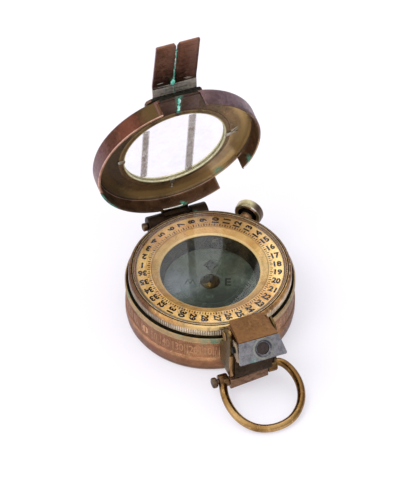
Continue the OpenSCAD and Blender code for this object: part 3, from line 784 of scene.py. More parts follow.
# lid inside: the gold band near the outer fillet and the light spots on the right and bottom are painted highlights;
# the darker left side, the darker tongue end and the dark spots are painted shade
M_LID = aged("lid_patina", "#735740", "#453427", "#e0c08a", rough=(0.32, 0.48), wear=0.2, grime="#33271e", frame_of="lid", scratch=0.15, fine=0.14, metal=0.75, patch=(0.2, 0.42, 0.66),
             zones=[("r", 21.6, 28.6, 1.4, "#9a7c4e", 0.6), ("r", 25.2, 28.2, 1.0, "#dab878", 0.55), ("x", -32, -17, 5, "#41362a", 0.75), ("y", -31, -19, 5, "#4d3c32", 0.85), ("r", 28.8, 29.3, 0.1, "#2a2018", 0.7)],
             highlight_at=spots([(25, 6, 22.6, 13, 0.75), (4, 27, 22.6, 9, 0.55), (15, 22, 22.6, 12, 0.8), (-8, 26, 22.6, 7, 0.3)]),
             shade_at=spots([(-24, 2, 22.6, 15, 1.0), (-18, 14, 22.6, 10, 0.9), (-20, -12, 22.6, 11, 1.0), (12, -22, 22.6, 9, 1.0), (17, -17, 22.6, 7, 0.9), (0, 21, 22.4, 5, 0.8), (21.5, -3, 22.4, 4, 0.6)]),
             verd=spots([(-28, 12, 17, 5, 1.0), (-25, 18, 17, 5, 1.0), (24, 17, 17.5, 3.2, 0.9), (18, 22, 22.0, 3.0, 0.8), (2, 29.5, 17, 2.2, 1.0)]), verd_all=0.05)
# pale edge colour for painted highlights on the lid's skirt edge, its lip and the tongue tip
M_EDGE_SHINE = aged("lid_edge_highlight", "#d3a996", "#a87c66", "#ecd0c0", rough=(0.36, 0.5), wear=0.2)
M_LIDVIOLET = aged("lid_violet", "#7b6268", "#544448", "#a08888", rough=(0.36, 0.5), wear=0.3, frame_of="lid", zones=[("x", -32, 8, 6.0, "#6d4c38", 0.7)])
M_LIDWALL = aged("lid_wall_inside", "#6a5140", "#453426", "#94785a", rough=(0.36, 0.5), wear=0.3, scratch=0.2, metal=0.9,
                 verd=spots([(3.4, 29.3, 17.6, 1.8, 1.0), (3.0, 29.3, 18.2, 1.2, 1.0), (19, 22, 17.5, 3.0, 0.9), (27, 12, 17.3, 2.6, 0.8)]))
M_HINGE = aged("hinge_patina", "#2a1e15", "#15100b", "#48382a", rough=(0.40, 0.54), wear=0.4, grime="#14110e",
               verd=[(6.2, 30.6, 17.6, 1.4, 0.7)], verd_all=0.03)
M_ARMFRONT = aged("arm_front_copper", "#8d6844", "#66472f", "#c09a68", rough=(0.34, 0.48), wear=0.6)
M_SPRING = aged("spring_dark", "#33291f", "#1c1611", "#5f4c38", rough=(0.45, 0.6), wear=0.3, verd=[(-3, -42.5, 19, 3, 0.6), (3, -42.5, 19.2, 3, 0.5)])
M_STRIPTAN = aged("side_strip_tan", "#86725c", "#5c4c3e", "#b3a28a", rough=(0.4, 0.55), wear=0.6)
M_ZINCRIM = aged("zinc_rim", "#8f9088", "#6c6e68", "#b0b1aa", rough=(0.45, 0.6), metal=0.8, wear=0.3)
M_SEAT = aged("seat_patina", "#54403a", "#3a2c2a", "#8d7468", rough=(0.42, 0.56), wear=0.3, fine=0.1, patch=(0.1, 0.44, 0.7), bump=0.2,
              verd=spots([(0.0, -27, 22.3, 1.7, 1.0), (0.0, -24.5, 22.3, 1.6, 1.0), (0.0, -22, 22.3, 1.6, 1.0), (0, -29, 22.3, 2.2, 0.9)]))
# tongue: the dark band over the flange (the last zone) is painted shade
M_TONGUE = aged("tongue_patina", "#7f5847", "#5c4234", "#8f6654", rough=(0.34, 0.48), wear=0.5, grime="#453c2a", frame_of="lid", patch=(0.12, 0.44, 0.70), scratch=0.05, fine=0.08,
                zones=[("x", -9.0, -6.75, 0.2, "#8f7a92", 0.4), ("x", 8.0, 10.0, 0.2, "#241a17", 0.7), ("y", -29.6, -24.0, 0.5, "#6f6a58", 0.6),
                       ("x", -0.7, 1.7, 0.3, "#3a2a22", 0.45), ("z", 23.9, 25.5, 0.1, "#3a2c24", 0.7)])
M_FIT = aged("fittings_brass", "#7d5e3c", "#41321f", "#b8935c", rough=(0.30, 0.46), wear=0.6, grime="#2e2a1e", verd_all=0.06)
M_PRISM = aged("prism_brass", "#6d4a30", "#573a25", "#9c744a", rough=(0.42, 0.56), patch=(0.1, 0.45, 0.75), wear=0.45, fine=0.10, bump=0.2, scratch=0.25)
M_ARM = aged("arm_brass", "#43341f", "#261d12", "#7d6840", rough=(0.36, 0.52), wear=0.6, grime="#241b12", verd_all=0.04, patch=(0.24, 0.42, 0.66))
# the light spot at the bar's left end is a painted highlight, and the bar is darker towards its right end
M_BAR = aged("bar_copper", "#412b22", "#271b17", "#86664f", rough=(0.36, 0.5), wear=1.0, metal=0.85, highlight_at=[(-8, -40.2, 6.5, 3.5, 0.6)],
              tint="#2e211c", tint_at=[(4.5, -40.2, 6.5, 5, 0.7)], verd=[(-4, -37.0, 8.0, 2.2, 0.8), (3, -37.0, 8.1, 2.0, 0.7)], verd_all=0.02)
# the darker right part of the plate is painted shade
M_ZINC = aged("zinc_plate", "#6b6a6e", "#434249", "#a6a5a6", rough=(0.40, 0.58), metal=0.8, patch=(0.3, 0.4, 0.66), wear=0.5, grime="#3e424c",
              zones=[("x", 5.8, 14, 1.5, "#55505a", 0.4)], verd=[(-2, -48.0, 22.6, 2.0, 0.4)], fine=0.25, scratch=0.5)
# thumb ring: the light spots along its bottom are painted highlights; the darkened eyes and the darker right side are
# painted shade
M_RING = aged("ring_brass", "#8f6c3c", "#5f4526", "#e4bc82", rough=(0.18, 0.30), patch=(0.14, 0.46, 0.72), fine=0.14, bump=0.15, scratch=0.3,
              tint="#47302a", tint_at=[(-10.3, -38.8, 6.2, 5.0, 1.0), (8.6, -38.6, 6.0, 3.0, 0.8)], zones=[("x", 12.0, 20.0, 3.0, "#6b4c2c", 0.55)], highlight_at=[(-9, -53, 3.5, 9, 0.4), (2, -61, 2, 9, 0.35)])
M_STEEL = aged("dark_steel", "#4c4844", "#2b2826", "#8d8880", rough=(0.35, 0.5), wear=0.5)
# knob brass, the lit copy: its light colour on the lip face stands in for light
M_KNOB_LIT = aged("knob_brass_lit", "#94876a", "#5a4f3a", "#cfc4a4", rough=(0.28, 0.42), wear=0.6, grime="#2a221a")
M_HEAD = aged("pin_brass", "#43302a", "#231715", "#7d6a54", rough=(0.36, 0.5), wear=0.7)
# pale claw colour that stands in for the highlights on the claws, marks and drops
M_CLAW_SHINE = aged("claw_brass_highlight", "#b7b0a4", "#6f6656", "#dcd6c8", rough=(0.3, 0.45), wear=0.4)
# pale paint standing in for light on the window's inner edge and the walls of its recess
M_RIM_PAINTED_LIGHT = paint("window_edge_painted_light", "#d9d4b0", "#b8b28a", 0.5)
M_RISER = aged("riser_grey", "#8d8578", "#51473c", "#dcd6ca", rough=(0.4, 0.55), metal=0.5, wear=0.7, patch=(0.45, 0.42, 0.62), scratch=0.3)
M_SKIRT = aged("skirt_red_brown", "#5f3a2c", "#40291f", "#74503f", rough=(0.32, 0.46), wear=0.2, frame_of="lid", scratch=0.1, fine=0.1,
               zones=[("x", -14.5, -8.0, 2.0, "#57492c", 0.75), ("x", -33.0, -28.0, 3.0, "#8a6a6c", 0.6), ("x", -22.0, -17.0, 2.5, "#7d4a3a", 0.5)])
# near-white paint for painted highlight lines
M_SHINE_WHITE = paint("painted_shine_white", "#f4f2ee", "#e2ded6", 0.5)
M_LEAFSIDE = aged("leaf_side_violet", "#a892a4", "#7d6a78", "#c4b4c0", rough=(0.4, 0.5), wear=0.3)
M_TICK = paint("tick_ink", "#5c382c", "#35201a", 0.6, spec=0.2)
# knurl: the darker back and sides are painted shade
M_KNURL = aged("knurl_pale", "#f4e2c4", "#b09c7e", "#fff4de", rough=(0.3, 0.45), wear=0.7, metal=0.75,
               zones=[("f", -40, 0, 6, "#5c4034", 0.75), ("x", -40, -21, 4.0, "#4a2e28", 0.8), ("x", 26.0, 40, 3.0, "#5a3e34", 0.6)])
# knob brass, the shaded copy for the outer side, with painted highlights near its top
M_KNOB_SHADED = aged("knob_side_shaded", "#5a463e", "#33261f", "#cfc69c", rough=(0.3, 0.45), wear=0.35, highlight_at=[(22.9, 25.1, 22.2, 5.5, 1.0), (21.6, 26.0, 21.6, 4.5, 0.8)])
M_STRIP = film("sight_strip_grey", "#a89a8c", "#877a6e", 0.62)
M_BOWL = aged("bowl_brass", "#6c5c3c", "#403a2a", "#a08a5c", rough=(0.4, 0.55))
M_HUB = aged("hub_brass", "#38240f", "#1c120a", "#c89a58", rough=(0.16, 0.26), wear=0.6, bump=0.06, scratch=0.1, fine=0.1)
M_RUBBER = aged("gasket_rubber", "#7a7472", "#57514f", "#8d8784", metal=0.3, rough=(0.6, 0.7), zones=[("y", -2, 40, 7, "#7d5238", 0.95), ("x", 12, 40, 6, "#8a6040", 0.9)])
# black for the blackened screws, also laid as painted shade in the clamp knob's hollow
M_BLACK = paint("blackened_screws_and_shaded_hollow", "#100d0b", "#070605", 0.5, spec=0.12)
M_GLASS = pane("bezel_pane", "#fafcf8", 1.42, haze=(0.0, 0.02))
M_DIALGLASS = pane("dial_pane", "#f6faf8", 1.35, haze=(0.0, 0.03), haze_col="#a9b0b8")
M_LIDGLASS = pane("lid_pane", "#fbfafc", 1.2, haze=(0.0, 0.05), haze_col="#efe9da")
M_PRISMGLASS = crystal("prism_crystal", "#dfe9e6")
M_LENS = paint("lens_glass", "#33231f", "#1a1211", 0.16, spec=0.5, bump=0.02)
M_JEWEL = crystal("ruby_cup", "#a8182c")


def card_material():
    m = Mat("card_shell")
    n1 = m.noise(0.16, 6, 0.65, 1.4)
    n2 = m.noise(0.7, 5, 0.6, 0.8)
    c = m.ramp(n1, [(0.32, lin("#353837")), (0.46, lin("#505550")), (0.58, lin("#6a6e66")), (0.74, lin("#878c83"))])
    c = m.mix(m.math("MULTIPLY", m.mapr(n2, 0.5, 0.68), 0.45), c, lin("#2d342f"))
    # the pale bluish patch on the left is a painted reflection of the lid's window; the other patches vary the tone,
    # and the card darkens towards the front
    for p, r, h, s in (((-12, 3, 14), 13, "#8a8ea4", 0.65), ((11, 3, 14), 8, "#4a4840", 0.5), ((2, -11, 14), 13, "#20261f", 0.85), ((-2, 9, 14), 9, "#77786c", 0.4)):
        c = m.mix(m.math("MULTIPLY", m.near(p, r, 0.9), s), c, lin(h))
    cy = m.xyz()[1]
    c = m.mix(m.math("MULTIPLY", m.mapr(cy, -2.0, -11.0), 0.85), c, lin("#131812"))
    # curved veins like those of old shell lacquer
    wave = m.node("TexWave", {"Vector": m.vscale(m.mm, (1, 1, 1), (9, 5, 0)), "Scale": 0.16, "Distortion": 6.0, "Detail": 3.0, "Detail Scale": 0.6}, wave_type="RINGS", rings_direction="Z").outputs["Fac"]
    c = m.mix(m.math("MULTIPLY", m.band(wave, 0.47, 0.53, 0.02), 0.5), c, lin("#232a27"))
    rr = m.mapr(n2, 0.3, 0.7, 0.28, 0.5)
    return m.finish(m.node("BsdfPrincipled", {"Base Color": c, "Roughness": rr, "Metallic": 0.2, "Specular IOR Level": 0.6,
                                              "Normal": m.bump(n2, 0.15, 0.00004)}).outputs["BSDF"])


M_CARD = card_material()
M_CARDINK = paint("card_ink", "#0c1012", "#07090a", 0.6)
M_CARDPALE = paint("card_pale", "#1c2421", "#141a1b", 0.5)
M_CARDFAINT = paint("card_ink_worn", "#565e58", "#3c4542", 0.6)


# ------------------------------------------------------------------ case
def build_case():
    P = [(0, 1.1), (26.15, 1.1), (26.15, 0.0, 0.1), (28.8, 0.0, 0.6), (29.7, 1.5, 1.4), (30, 3.4, 1.0),
         (30, 5.80, 0.06), (29.74, 5.95, 0.05), (30, 6.12, 0.06), (30, 6.38, 0.06), (29.74, 6.55, 0.05), (30, 6.72, 0.06),
         (30, 6.98, 0.1), (29.72, 7.15, 0.12), (29.72, 14.25, 0.12), (30, 14.42, 0.12), (30, 14.95, 0.05), (29.84, 15.03, 0.04),
         (30, 15.12, 0.05), (30, 16.25, 0.3), (29.78, 16.58, 0.15), (29.52, 16.6, 0.1), (29.42, 16.4, 0.1), (29.38, 14.9, 0.2), (27.5, 14.9, 0.2), (27.5, 19.0, 0.15), (26.15, 19.0, 0.15),
         (26.15, 15.8), (24.6, 15.8), (24.6, 15.0), (27.0, 13.4), (27.0, 2.4), (0, 2.4)]
    Q = []
    for i, p in enumerate(P):
        Q.append(p if len(p) > 2 else (p[0], p[1], 0))
    prof = [(0, 1.1)] + rnd(Q[1:-1] + [(0.001, 2.4, 0), (0.001, 1.1, 0)], 0.0, 4)[:-2] + [(0, 2.4)]

    def warp(r, z, th, i):
        if r > 29.2:
            d = noise.noise(Vector((cos(th) * 3.2, sin(th) * 3.2, z * 0.12))) * 0.05
            d += noise.noise(Vector((cos(th) * 14, sin(th) * 14, z * 0.5))) * 0.03
            return min(30.0, r + d - 0.03), z
        return r, z

    part = Part().add(spin(prof, 480, warp))
    # the faces in the groove at the wall's top take dark paint standing in for shade
    for k, q in enumerate(part.f):
        c = sum((Vector(part.v[i]) for i in q), Vector()) / len(q)
        if 27.45 < hypot(c.x, c.y) < 29.0 and 14.0 < c.z < 16.5:
            part.m[k] = 1
    piece("case_wall", part, [M_CASE, M_SHADE], "root", ["case_body"], angle=35)

    # plain degree figures, ribs and ticks in low relief round the wall
    part = Part()
    R0 = 29.66

    def rib(a, z0, z1, w, h=0.14):
        M = Matrix.Rotation(a, 4, "Z") @ T(R0, 0, 0) @ R(90, "Y")
        part.add(block(-z1, -z0, -w, w, -0.05, h, min(w, 0.1) * 0.9, 0.05, 2), 0, M)

    for i in range(36):
        n = i * 10
        th0 = radians(-90 - n - 12)
        v, f, w = glyph(str(n), 0.5, 0.012)
        h = 3.9
        out = []
        for (x, y, z) in v:
            a = th0 + x * h * 0.60 / R0
            r = R0 - 0.05 + (z * 0.30 + 0.075)
            out.append((r * cos(a), r * sin(a), 10.55 + y * h))
        part.add((out, f))
        half = w * h * 0.60 / 2 / R0
        rib(th0 - half - 0.017, 8.2, 12.9, 0.14, 0.16)
        rib(th0 + half + 0.017, 8.2, 12.9, 0.14, 0.16)
        for k in range(8):
            a = th0 + radians(1.25 * k)
            rib(a, 7.42, 8.0 if k % 2 else 8.22, 0.11, 0.12)
            rib(a + radians(0.4), 13.42, 13.98, 0.12, 0.12)
        mid = th0 + radians(5)
        if i % 2 == 0:
            rib(mid, 8.6, 12.6, 0.22, 0.13)
        else:
            rib(mid - 0.006, 8.6, 10.6, 0.12, 0.12)
            rib(mid + 0.006, 10.9, 12.6, 0.12, 0.12)
    for (z, w) in ((7.28, 0.10), (13.2, 0.09), (14.12, 0.10)):
        part.add(spin([(R0 - 0.05, z - w), (R0 + 0.1, z - w * 0.6), (R0 + 0.12, z), (R0 + 0.1, z + w * 0.6), (R0 - 0.05, z + w)], 240))
    piece("band_figures", part, M_BAND, "root", [], angle=40)


build_case()


def build_number_ring():
    prof = rnd([(17.62, 19.08, 0.05), (20.45, 19.08, 0), (20.45, 17.05, 0), (25.97, 17.05, 0), (25.97, 20.78, 0.1),
                (21.0, 20.78, 0.08), (20.86, 20.86, 0.06), (20.6, 20.86, 0.08), (20.35, 20.66, 0.15), (17.9, 19.52, 0.12), (17.62, 19.42, 0.05)], 0, 4)
    piece("number_ring_gold", Part().add(spin(prof, 256)), M_SCALE, "root", ["number_ring"], angle=30)
    part = Part()
    for n in range(1, 37):
        th = radians(90 - (10 * n - 75))
        v, f, w = glyph(str(n), 0.2, 0.05)
        h = 2.7
        cond = min(3.1 / (w * h), 0.98)
        rc = 23.85
        wob = 0.03 * sin(n * 2.3)
        M = Matrix.Rotation(th + 0.006 * sin(n * 1.7), 4, "Z") @ T(rc + 0.08 * sin(n * 3.1), 0, RING_TOP)
        out = [(x * h * cond, y * h * (0.97 + wob), 0.012 + z * 0.15) for (x, y, z) in v]
        part.add((out, f), 0, M)
    for k in range(144):
        th = radians(k * 2.5 + 15)
        r0, r1, w = (21.05, 22.1, 0.2) if k % 2 == 0 else (21.1, 21.8, 0.17)
        if k % 4 == 0:
            w = 0.26
        M = Matrix.Rotation(th, 4, "Z")
        part.add(block(r0, r1, -w, w, RING_TOP - 0.03, RING_TOP + 0.025, 0.04, 0.01, 2), 1, M)
    piece("number_ring_figures", part, [M_INK, M_TICK], "root", [], angle=30)


build_number_ring()


def build_bezel():
    P = [(28.45, 17.1, 0.08), (28.72, 17.35, 0.06)]
    P += [(28.72, z, 0) for z in (17.5, 17.75, 18.2, 18.7, 19.2, 19.55)]
    P += [(28.74, 19.8, 0.15), (28.66, 20.4, 0.5), (28.3, 20.96, 0.4), (27.86, 21.2, 0.12), (27.68, 21.22, 0.04), (27.62, 20.9, 0.03), (27.32, 20.9, 0.03),
          (27.26, 21.27, 0.05), (27.0, 21.3, 0.1), (26.86, 21.16, 0.05), (26.86, 20.7, 0), (26.2, 20.7, 0.05), (26.2, 19.27, 0), (27.55, 19.27, 0), (27.55, 17.1, 0.05)]
    prof = rnd(P, 0, 3)
    N = 216

    def warp(r, z, th, i):
        if r > 28.6 and 17.2 < z < 19.7:
            w = max(0.0, min(1.0, (z - 17.2) / 0.2, (19.7 - z) / 0.25))
            worn = 0.75 + 0.3 * noise.noise(Vector((cos(th) * 2, sin(th) * 2, 5.0)))
            s = (0.5 - 0.5 * cos(N * th)) ** 0.7
            return r - 0.24 * w * worn * s, z
        return r, z

    part = Part().add(spin(prof, N * 5, warp))
    # the groove in the top face takes dark paint standing in for shade
    for k, q in enumerate(part.f):
        c = sum((Vector(part.v[i]) for i in q), Vector()) / len(q)
        if 27.29 < hypot(c.x, c.y) < 27.65 and c.z > 20.8:
            part.m[k] = 1
        elif hypot(c.x, c.y) > 28.4 and 17.2 < c.z < 19.75:
            part.m[k] = 2
    piece("bezel_knurled", part, [M_BEZEL, M_SHADE, M_KNURL], "bezel", ["bezel_ring"], angle=50)


build_bezel()


def build_card():
    prof = rnd([(2.3, 13.6, 0), (16.2, 13.6, 0.08), (16.2, 14.1, 0.12), (2.3, 14.1, 0)], 0, 3)
    piece("card_disc", Part().add(spin(prof, 160)), M_CARD, "card", ["dial_card"])
    turn = R(-CARD_N, "Z")
    ink, pale = Part(), Part()
    z0, z1 = 14.07, 14.13
    # north mark: a diamond with a bar through it
    ink.add(plate(rnd([(0, 11.0), (2.6, 8.0), (0, 5.0), (-2.6, 8.0)], 0.08), z0, z1, bevel=0.01), 0, turn)
    pale.add(plate(rnd([(0, 9.9), (1.6, 8.0), (0, 6.1), (-1.6, 8.0)], 0.08), z0, z1 + 0.02, bevel=0.01), 0, turn)
    faint = Part()
    faint.add(block(-0.25, 0.25, 11.2, 13.0, z0, z1, 0.05, 0.01), 0, turn)
    for s, b in (("E", 90), ("S", 180), ("W", 270)):
        v, f, w = glyph(s, 0.2, 0.02)
        h = 3.6 if s == "E" else 2.7
        M = turn @ R(-b, "Z") @ T(0, 6.3 if s == "E" else 7.0, 14.1) @ R(90, "Z")
        (ink if s == "E" else faint).add(([(x * h, y * h, z * 0.12 + 0.01) for x, y, z in v], f), 0, M)
    for i in range(72):
        th = radians(i * 5)
        l0 = 13.7 if i % 2 == 0 else 14.4
        faint.add(block(l0, 15.3, -0.09, 0.09, z0, z1, 0.03, 0.01, 2), 0, turn @ Matrix.Rotation(th, 4, "Z"))
    for i in range(12):
        if i == 0:
            continue
        v, f, w = glyph(str(i * 3), 0.2)
        h = 1.5
        M = turn @ R(-30 * i, "Z") @ T(0, 12.0, 14.1) @ R(90, "Z")
        faint.add(([(x * h, y * h, z * 0.12 + 0.01) for x, y, z in v], f), 0, M)
    # two thin rings on the card
    for r in (15.55, 10.6):
        faint.add(spin([(r, 14.08), (r + 0.14, 14.08), (r + 0.14, 14.125), (r, 14.125)], 128))
    piece("card_marks_worn", faint, M_CARDFAINT, "card", [])
    piece("card_marks", ink, M_CARDINK, "card", [])
    piece("card_marks_pale", pale, M_CARDPALE, "card", [])
    hub = rnd([(1.3, 12.3, 0), (2.25, 12.3, 0.05), (2.25, 14.13, 0), (3.5, 14.13, 0.08), (3.42, 14.45, 0.25), (2.7, 15.2, 0.5), (1.5, 15.6, 0.5), (0.001, 15.7, 0), (0.001, 15.2, 0), (1.3, 15.0, 0)], 0, 4)
    hub = [(0 if p[0] < 0.01 else p[0], p[1]) for p in hub]
    # the outline runs from the underside round to the axis and back
    i0 = next(i for i, p in enumerate(hub) if p[0] == 0 and p[1] < 15.4)
    hub = hub[i0:] + hub[:i0]
    piece("card_cap", Part().add(spin(hub, 72)), M_HUB, "card", ["card_hub"])


build_card()


# ------------------------------------------------------------------ lid
def build_lid():
    P = [(18.7, 24.0, 0.15), (18.7, 23.4, 0.05), (19.78, 23.4, 0), (19.78, 22.42, 0), (21.2, 22.40, 0.1), (22.2, 22.5, 0.5), (24.0, 22.74, 1.2),
         (26.2, 22.86, 1.5), (28.0, 22.74, 1.2), (29.0, 22.2, 0.9), (29.38, 21.2, 0.8), (29.42, 20.2, 0.3), (29.42, 17.05, 0.12), (29.6, 16.87, 0.1),
         (30.2, 16.87, 0.12), (30.38, 17.1, 0.12), (30.38, 19.0, 0), (30.36, 22.2, 0.3), (30.28, 23.1, 0.5), (29.9, 23.75, 0.5), (29.2, 23.98, 0.4),
         (27.0, 24.0, 0.2), (26.8, 23.93, 0.08), (26.6, 24.0, 0.08)]
    prof = rnd(P, 0, 4)

    def warp(r, z, th, i):
        d = noise.noise(Vector((cos(th) * 2.6 + 4, sin(th) * 2.6, z * 0.1))) * 0.05
        return (r + d - 0.02 if r > 29.2 else r), z

    base = spin(prof, 288, warp)
    cut1 = plate(rnd([(-7.8, -34), (7.8, -34), (7.8, -27), (-7.8, -27)], 0.02), 10, 22.42, bevel=0.02)
    cut2v, cut2f = plate(rnd([(25, -5.9), (36, -5.9), (36, 5.9), (25, 5.9)], 0.5), 10, 22.4, bevel=0.25)
    M = R(CLAMP_DEG, "Z")
    cut2 = ([tuple(M @ Vector(p)) for p in cut2v], cut2f)
    body = boolean(base, [cut1, cut2])
    part = Part().add(body)
    # flat seat under the tongue, pressed into the dished floor, with its index groove
    seat = rnd([(-7.7, -28.6, 0.4), (7.7, -28.6, 0.4), (7.7, -20.6, 0.3)] + [(x, -sqrt(20.95 ** 2 - x * x) + 0.0, 0) for x in (6, 4, 2, 0.45)] +
               [(0.28, -21.4, 0.0), (0.28, -28.2, 0.1), (-0.28, -28.2, 0.1), (-0.28, -21.4, 0)] +
               [(x, -sqrt(20.95 ** 2 - x * x), 0) for x in (-0.45, -2, -4, -6)] + [(-7.7, -20.6, 0.3)], 0.1, 3)
    part.add(plate(seat, 22.22, 22.85, bevel=0.06), 1)
    for k, q in enumerate(part.f):
        if part.m[k]:
            continue
        c = sum((Vector(part.v[i]) for i in q), Vector()) / len(q)
        rr = hypot(c.x, c.y)
        # the skirt's lower edge on the left takes a painted highlight
        if rr > 29.3 and c.z < 17.2 and c.x < -5 and c.y < 8:
            part.m[k] = 2
        elif 7.6 < abs(c.x) < 8.6 and c.y < -27.0 and c.z < 22.6:
            part.m[k] = 6 if c.x < 0 else 3
        elif abs(c.x) < 8.6 and c.y < -27.0 and c.z < 22.6:
            part.m[k] = 1
        # the lid's edge under the tongue takes dark paint standing in for shade
        elif abs(c.x) < 9.0 and c.y < -29.3 and c.z >= 22.6:
            part.m[k] = 8
        elif rr > 30.0 and c.y < 12 and c.x > -9:
            part.m[k] = 3
        elif rr > 29.6 and c.y < 6 and c.x <= -9:
            part.m[k] = 6
        elif 29.2 < rr < 29.75 and c.z < 22.0:
            part.m[k] = 4
        # the walls of the window recess take pale paint standing in for light
        elif rr < 19.85 and c.z > 22.3:
            part.m[k] = 5
    # a thin lip where the floor meets the wall, painted in a highlight colour
    lip = [(29.22 * cos(radians(a)), 29.22 * sin(radians(a)), 21.75) for a in range(28, 200, 4)]
    part.add(sweep(lip, lambda s: 0.10 + 0.03 * sin(s * 40), 10, 2), 2)
    # painted highlights on the free edge above the hinge and on the skirt's tip, and corrosion filling the index
    # groove with painted white highlight lines beside it
    edge = [(-4.5 + 7.2 * k / 16, sqrt(29.36 ** 2 - (-4.5 + 7.2 * k / 16) ** 2), 17.02) for k in range(17)]
    part.add(sweep(edge, lambda s: 0.16 + 0.05 * s, 12, 2), 7)
    tip = [(29.85 * cos(radians(a)), 29.85 * sin(radians(a)), 17.0) for a in (25, 26.5, 28, 29.5, 31, 32.4)]
    part.add(sweep(tip, lambda s: 0.14 + 0.16 * s, 12, 2), 7)
    for y0, y1 in ((-28.5, -26.0), (-24.7, -21.5)):
        fill = [(0.06 * sin(k * 1.7), y0 + (y1 - y0) * k / 12, 22.24) for k in range(13)]
        part.add(sweep(fill, lambda s: 0.34 + 0.08 * sin(s * 9), 12, 3, Vector((1, 0, 0))), 9)
        shine = [(0.42 + 0.05 * sin(k), y0 + 0.5 + (y1 - y0 - 1.0) * k / 12, 22.16) for k in range(13)]
        part.add(sweep(shine, lambda s: 0.16 + 0.04 * sin(s * 9), 10, 2, Vector((1, 0, 0))), 7)
    piece("lid_pressing", part, [M_LID, M_SEAT, M_EDGE_SHINE, M_LIDVIOLET, M_LIDWALL, M_RIM_PAINTED_LIGHT, M_SKIRT, M_SHINE_WHITE, M_SHADE, M_VERDLIGHT], "lid", ["lid_shell"], angle=38, pose=LID)

    # glass retainer: a soft ring round the window
    P = rnd([(18.72, 22.38, 0.05), (18.72, 22.1, 0.12), (19.1, 21.98, 0.15), (20.5, 22.0, 0.2), (20.9, 22.2, 0.12), (20.9, 22.38, 0.0)], 0, 4)
    part = Part().add(spin(P, 192))
    # the ring's inner edge takes pale paint standing in for light
    for k, q in enumerate(part.f):
        c = sum((Vector(part.v[i]) for i in q), Vector()) / len(q)
        if hypot(c.x, c.y) < 18.95:
            part.m[k] = 1
    piece("window_rim", part, [M_RIM, M_RIM_PAINTED_LIGHT], "lid", ["glass_retainer"], pose=LID)
    # claws
    part = Part()
    for a in (0, 90, 180, 270):
        M = R(a, "Z")
        v, f = block(18.65, 21.3, -0.85, 0.85, 21.6, 21.97, 0.5, 0.12)
        v = [(x, y, z + (0.3 * max(0, (x - 19.6)) ** 1.2 * 0.35)) for x, y, z in v]
        part.add((v, f), 1 if a == 270 else 0, M @ T(0.9, 0, 0) if a == 270 else M)
    # pale marks and drops standing in for highlights next to the claws
    for p, q in (((20.7, -2.0), (23.7, 1.6)), ((20.8, 1.9), (23.9, -1.7)), ((21.2, 0.2), (24.3, 0.7)), ((21.0, -0.6), (23.6, -2.4))):
        mark = [(p[0] + (q[0] - p[0]) * k / 8, p[1] + (q[1] - p[1]) * k / 8, 22.36 + 0.10 * k / 8) for k in range(9)]
        part.add(sweep(mark, lambda s: 0.06 + 0.10 * sin(pi * s), 10, 2), 0)
    for y, r in ((22.3, 0.34), (23.6, 0.42)):
        drop = [(0.1 + 0.06 * k, y + 0.12 * k, 22.36) for k in range(5)]
        part.add(sweep(drop, lambda s: r * sin(pi * (0.15 + 0.7 * s)), 14, 3), 0)
    piece("window_claws", part, [M_CLAW_SHINE, M_SEAT], "lid", ["glass_claws"], pose=LID)
    # sighting strips
    part = Part()
    for x0, w, y0, y1 in ((-12.4, 2.6, -14.0, 13.4), (4.5, 2.9, -17.2, 16.2)):
        v, f = block(x0, x0 + w, y0, y1, 22.29, 22.47, 0.3, 0.05)
        v = [(x + 0.012 * y, y, z) for x, y, z in v]
        part.add((v, f))
    piece("window_strips", part, M_STRIP, "lid", ["sight_strips"], pose=LID)
    # leaf of the hinge on the lid
    part = Part()
    part.add(rod(2.04, -5, 5, 0.2), 0, axis_x(HINGE_Y, HINGE_Z))
    part.add(side([(30.12, 17.0, 0.1), (30.12, 22.3, 0.3), (31.3, 22.25, 0.4), (32.0, 18.4, 0.8), (34.6, 15.7, 0.9), (33.0, 14.45, 0.1), (31.3, 15.6, 0.4), (31.1, 17.0, 0.2)], -4.98, 4.98, bevel=0.15))
    # a painted highlight line along the leaf
    line = [(-4.3 + 6.4 * k / 12, 31.55 - 0.02 * k, 17.25 + 0.04 * sin(k)) for k in range(13)]
    part.add(sweep(line, lambda s: 0.2 * sin(pi * (0.12 + 0.76 * s)) + 0.06, 12, 2), 1)
    piece("hinge_leaf", part, [M_HINGE, M_HIGHLIGHT], "lid", ["lid_leaf"], pose=LID)
    part = Part()
    for x in (-3, 3):
        part.add(rod(0.95, -0.35, 0.25, 0.2, 24), 0, T(x, 31.7, 20.6) @ R(-82, "X"))
    piece("hinge_leaf_rivets", part, M_FIT, "lid", ["leaf_rivets"], pose=LID)


# the pale ring at the inner edge is painted light
M_RIM = aged("window_rim_olive", "#7d6444", "#54412c", "#a08a58", rough=(0.36, 0.5), wear=0.2, frame_of="lid", metal=0.7, zones=[("r", 18.0, 19.3, 0.1, "#b5ae84", 0.9)])
build_lid()


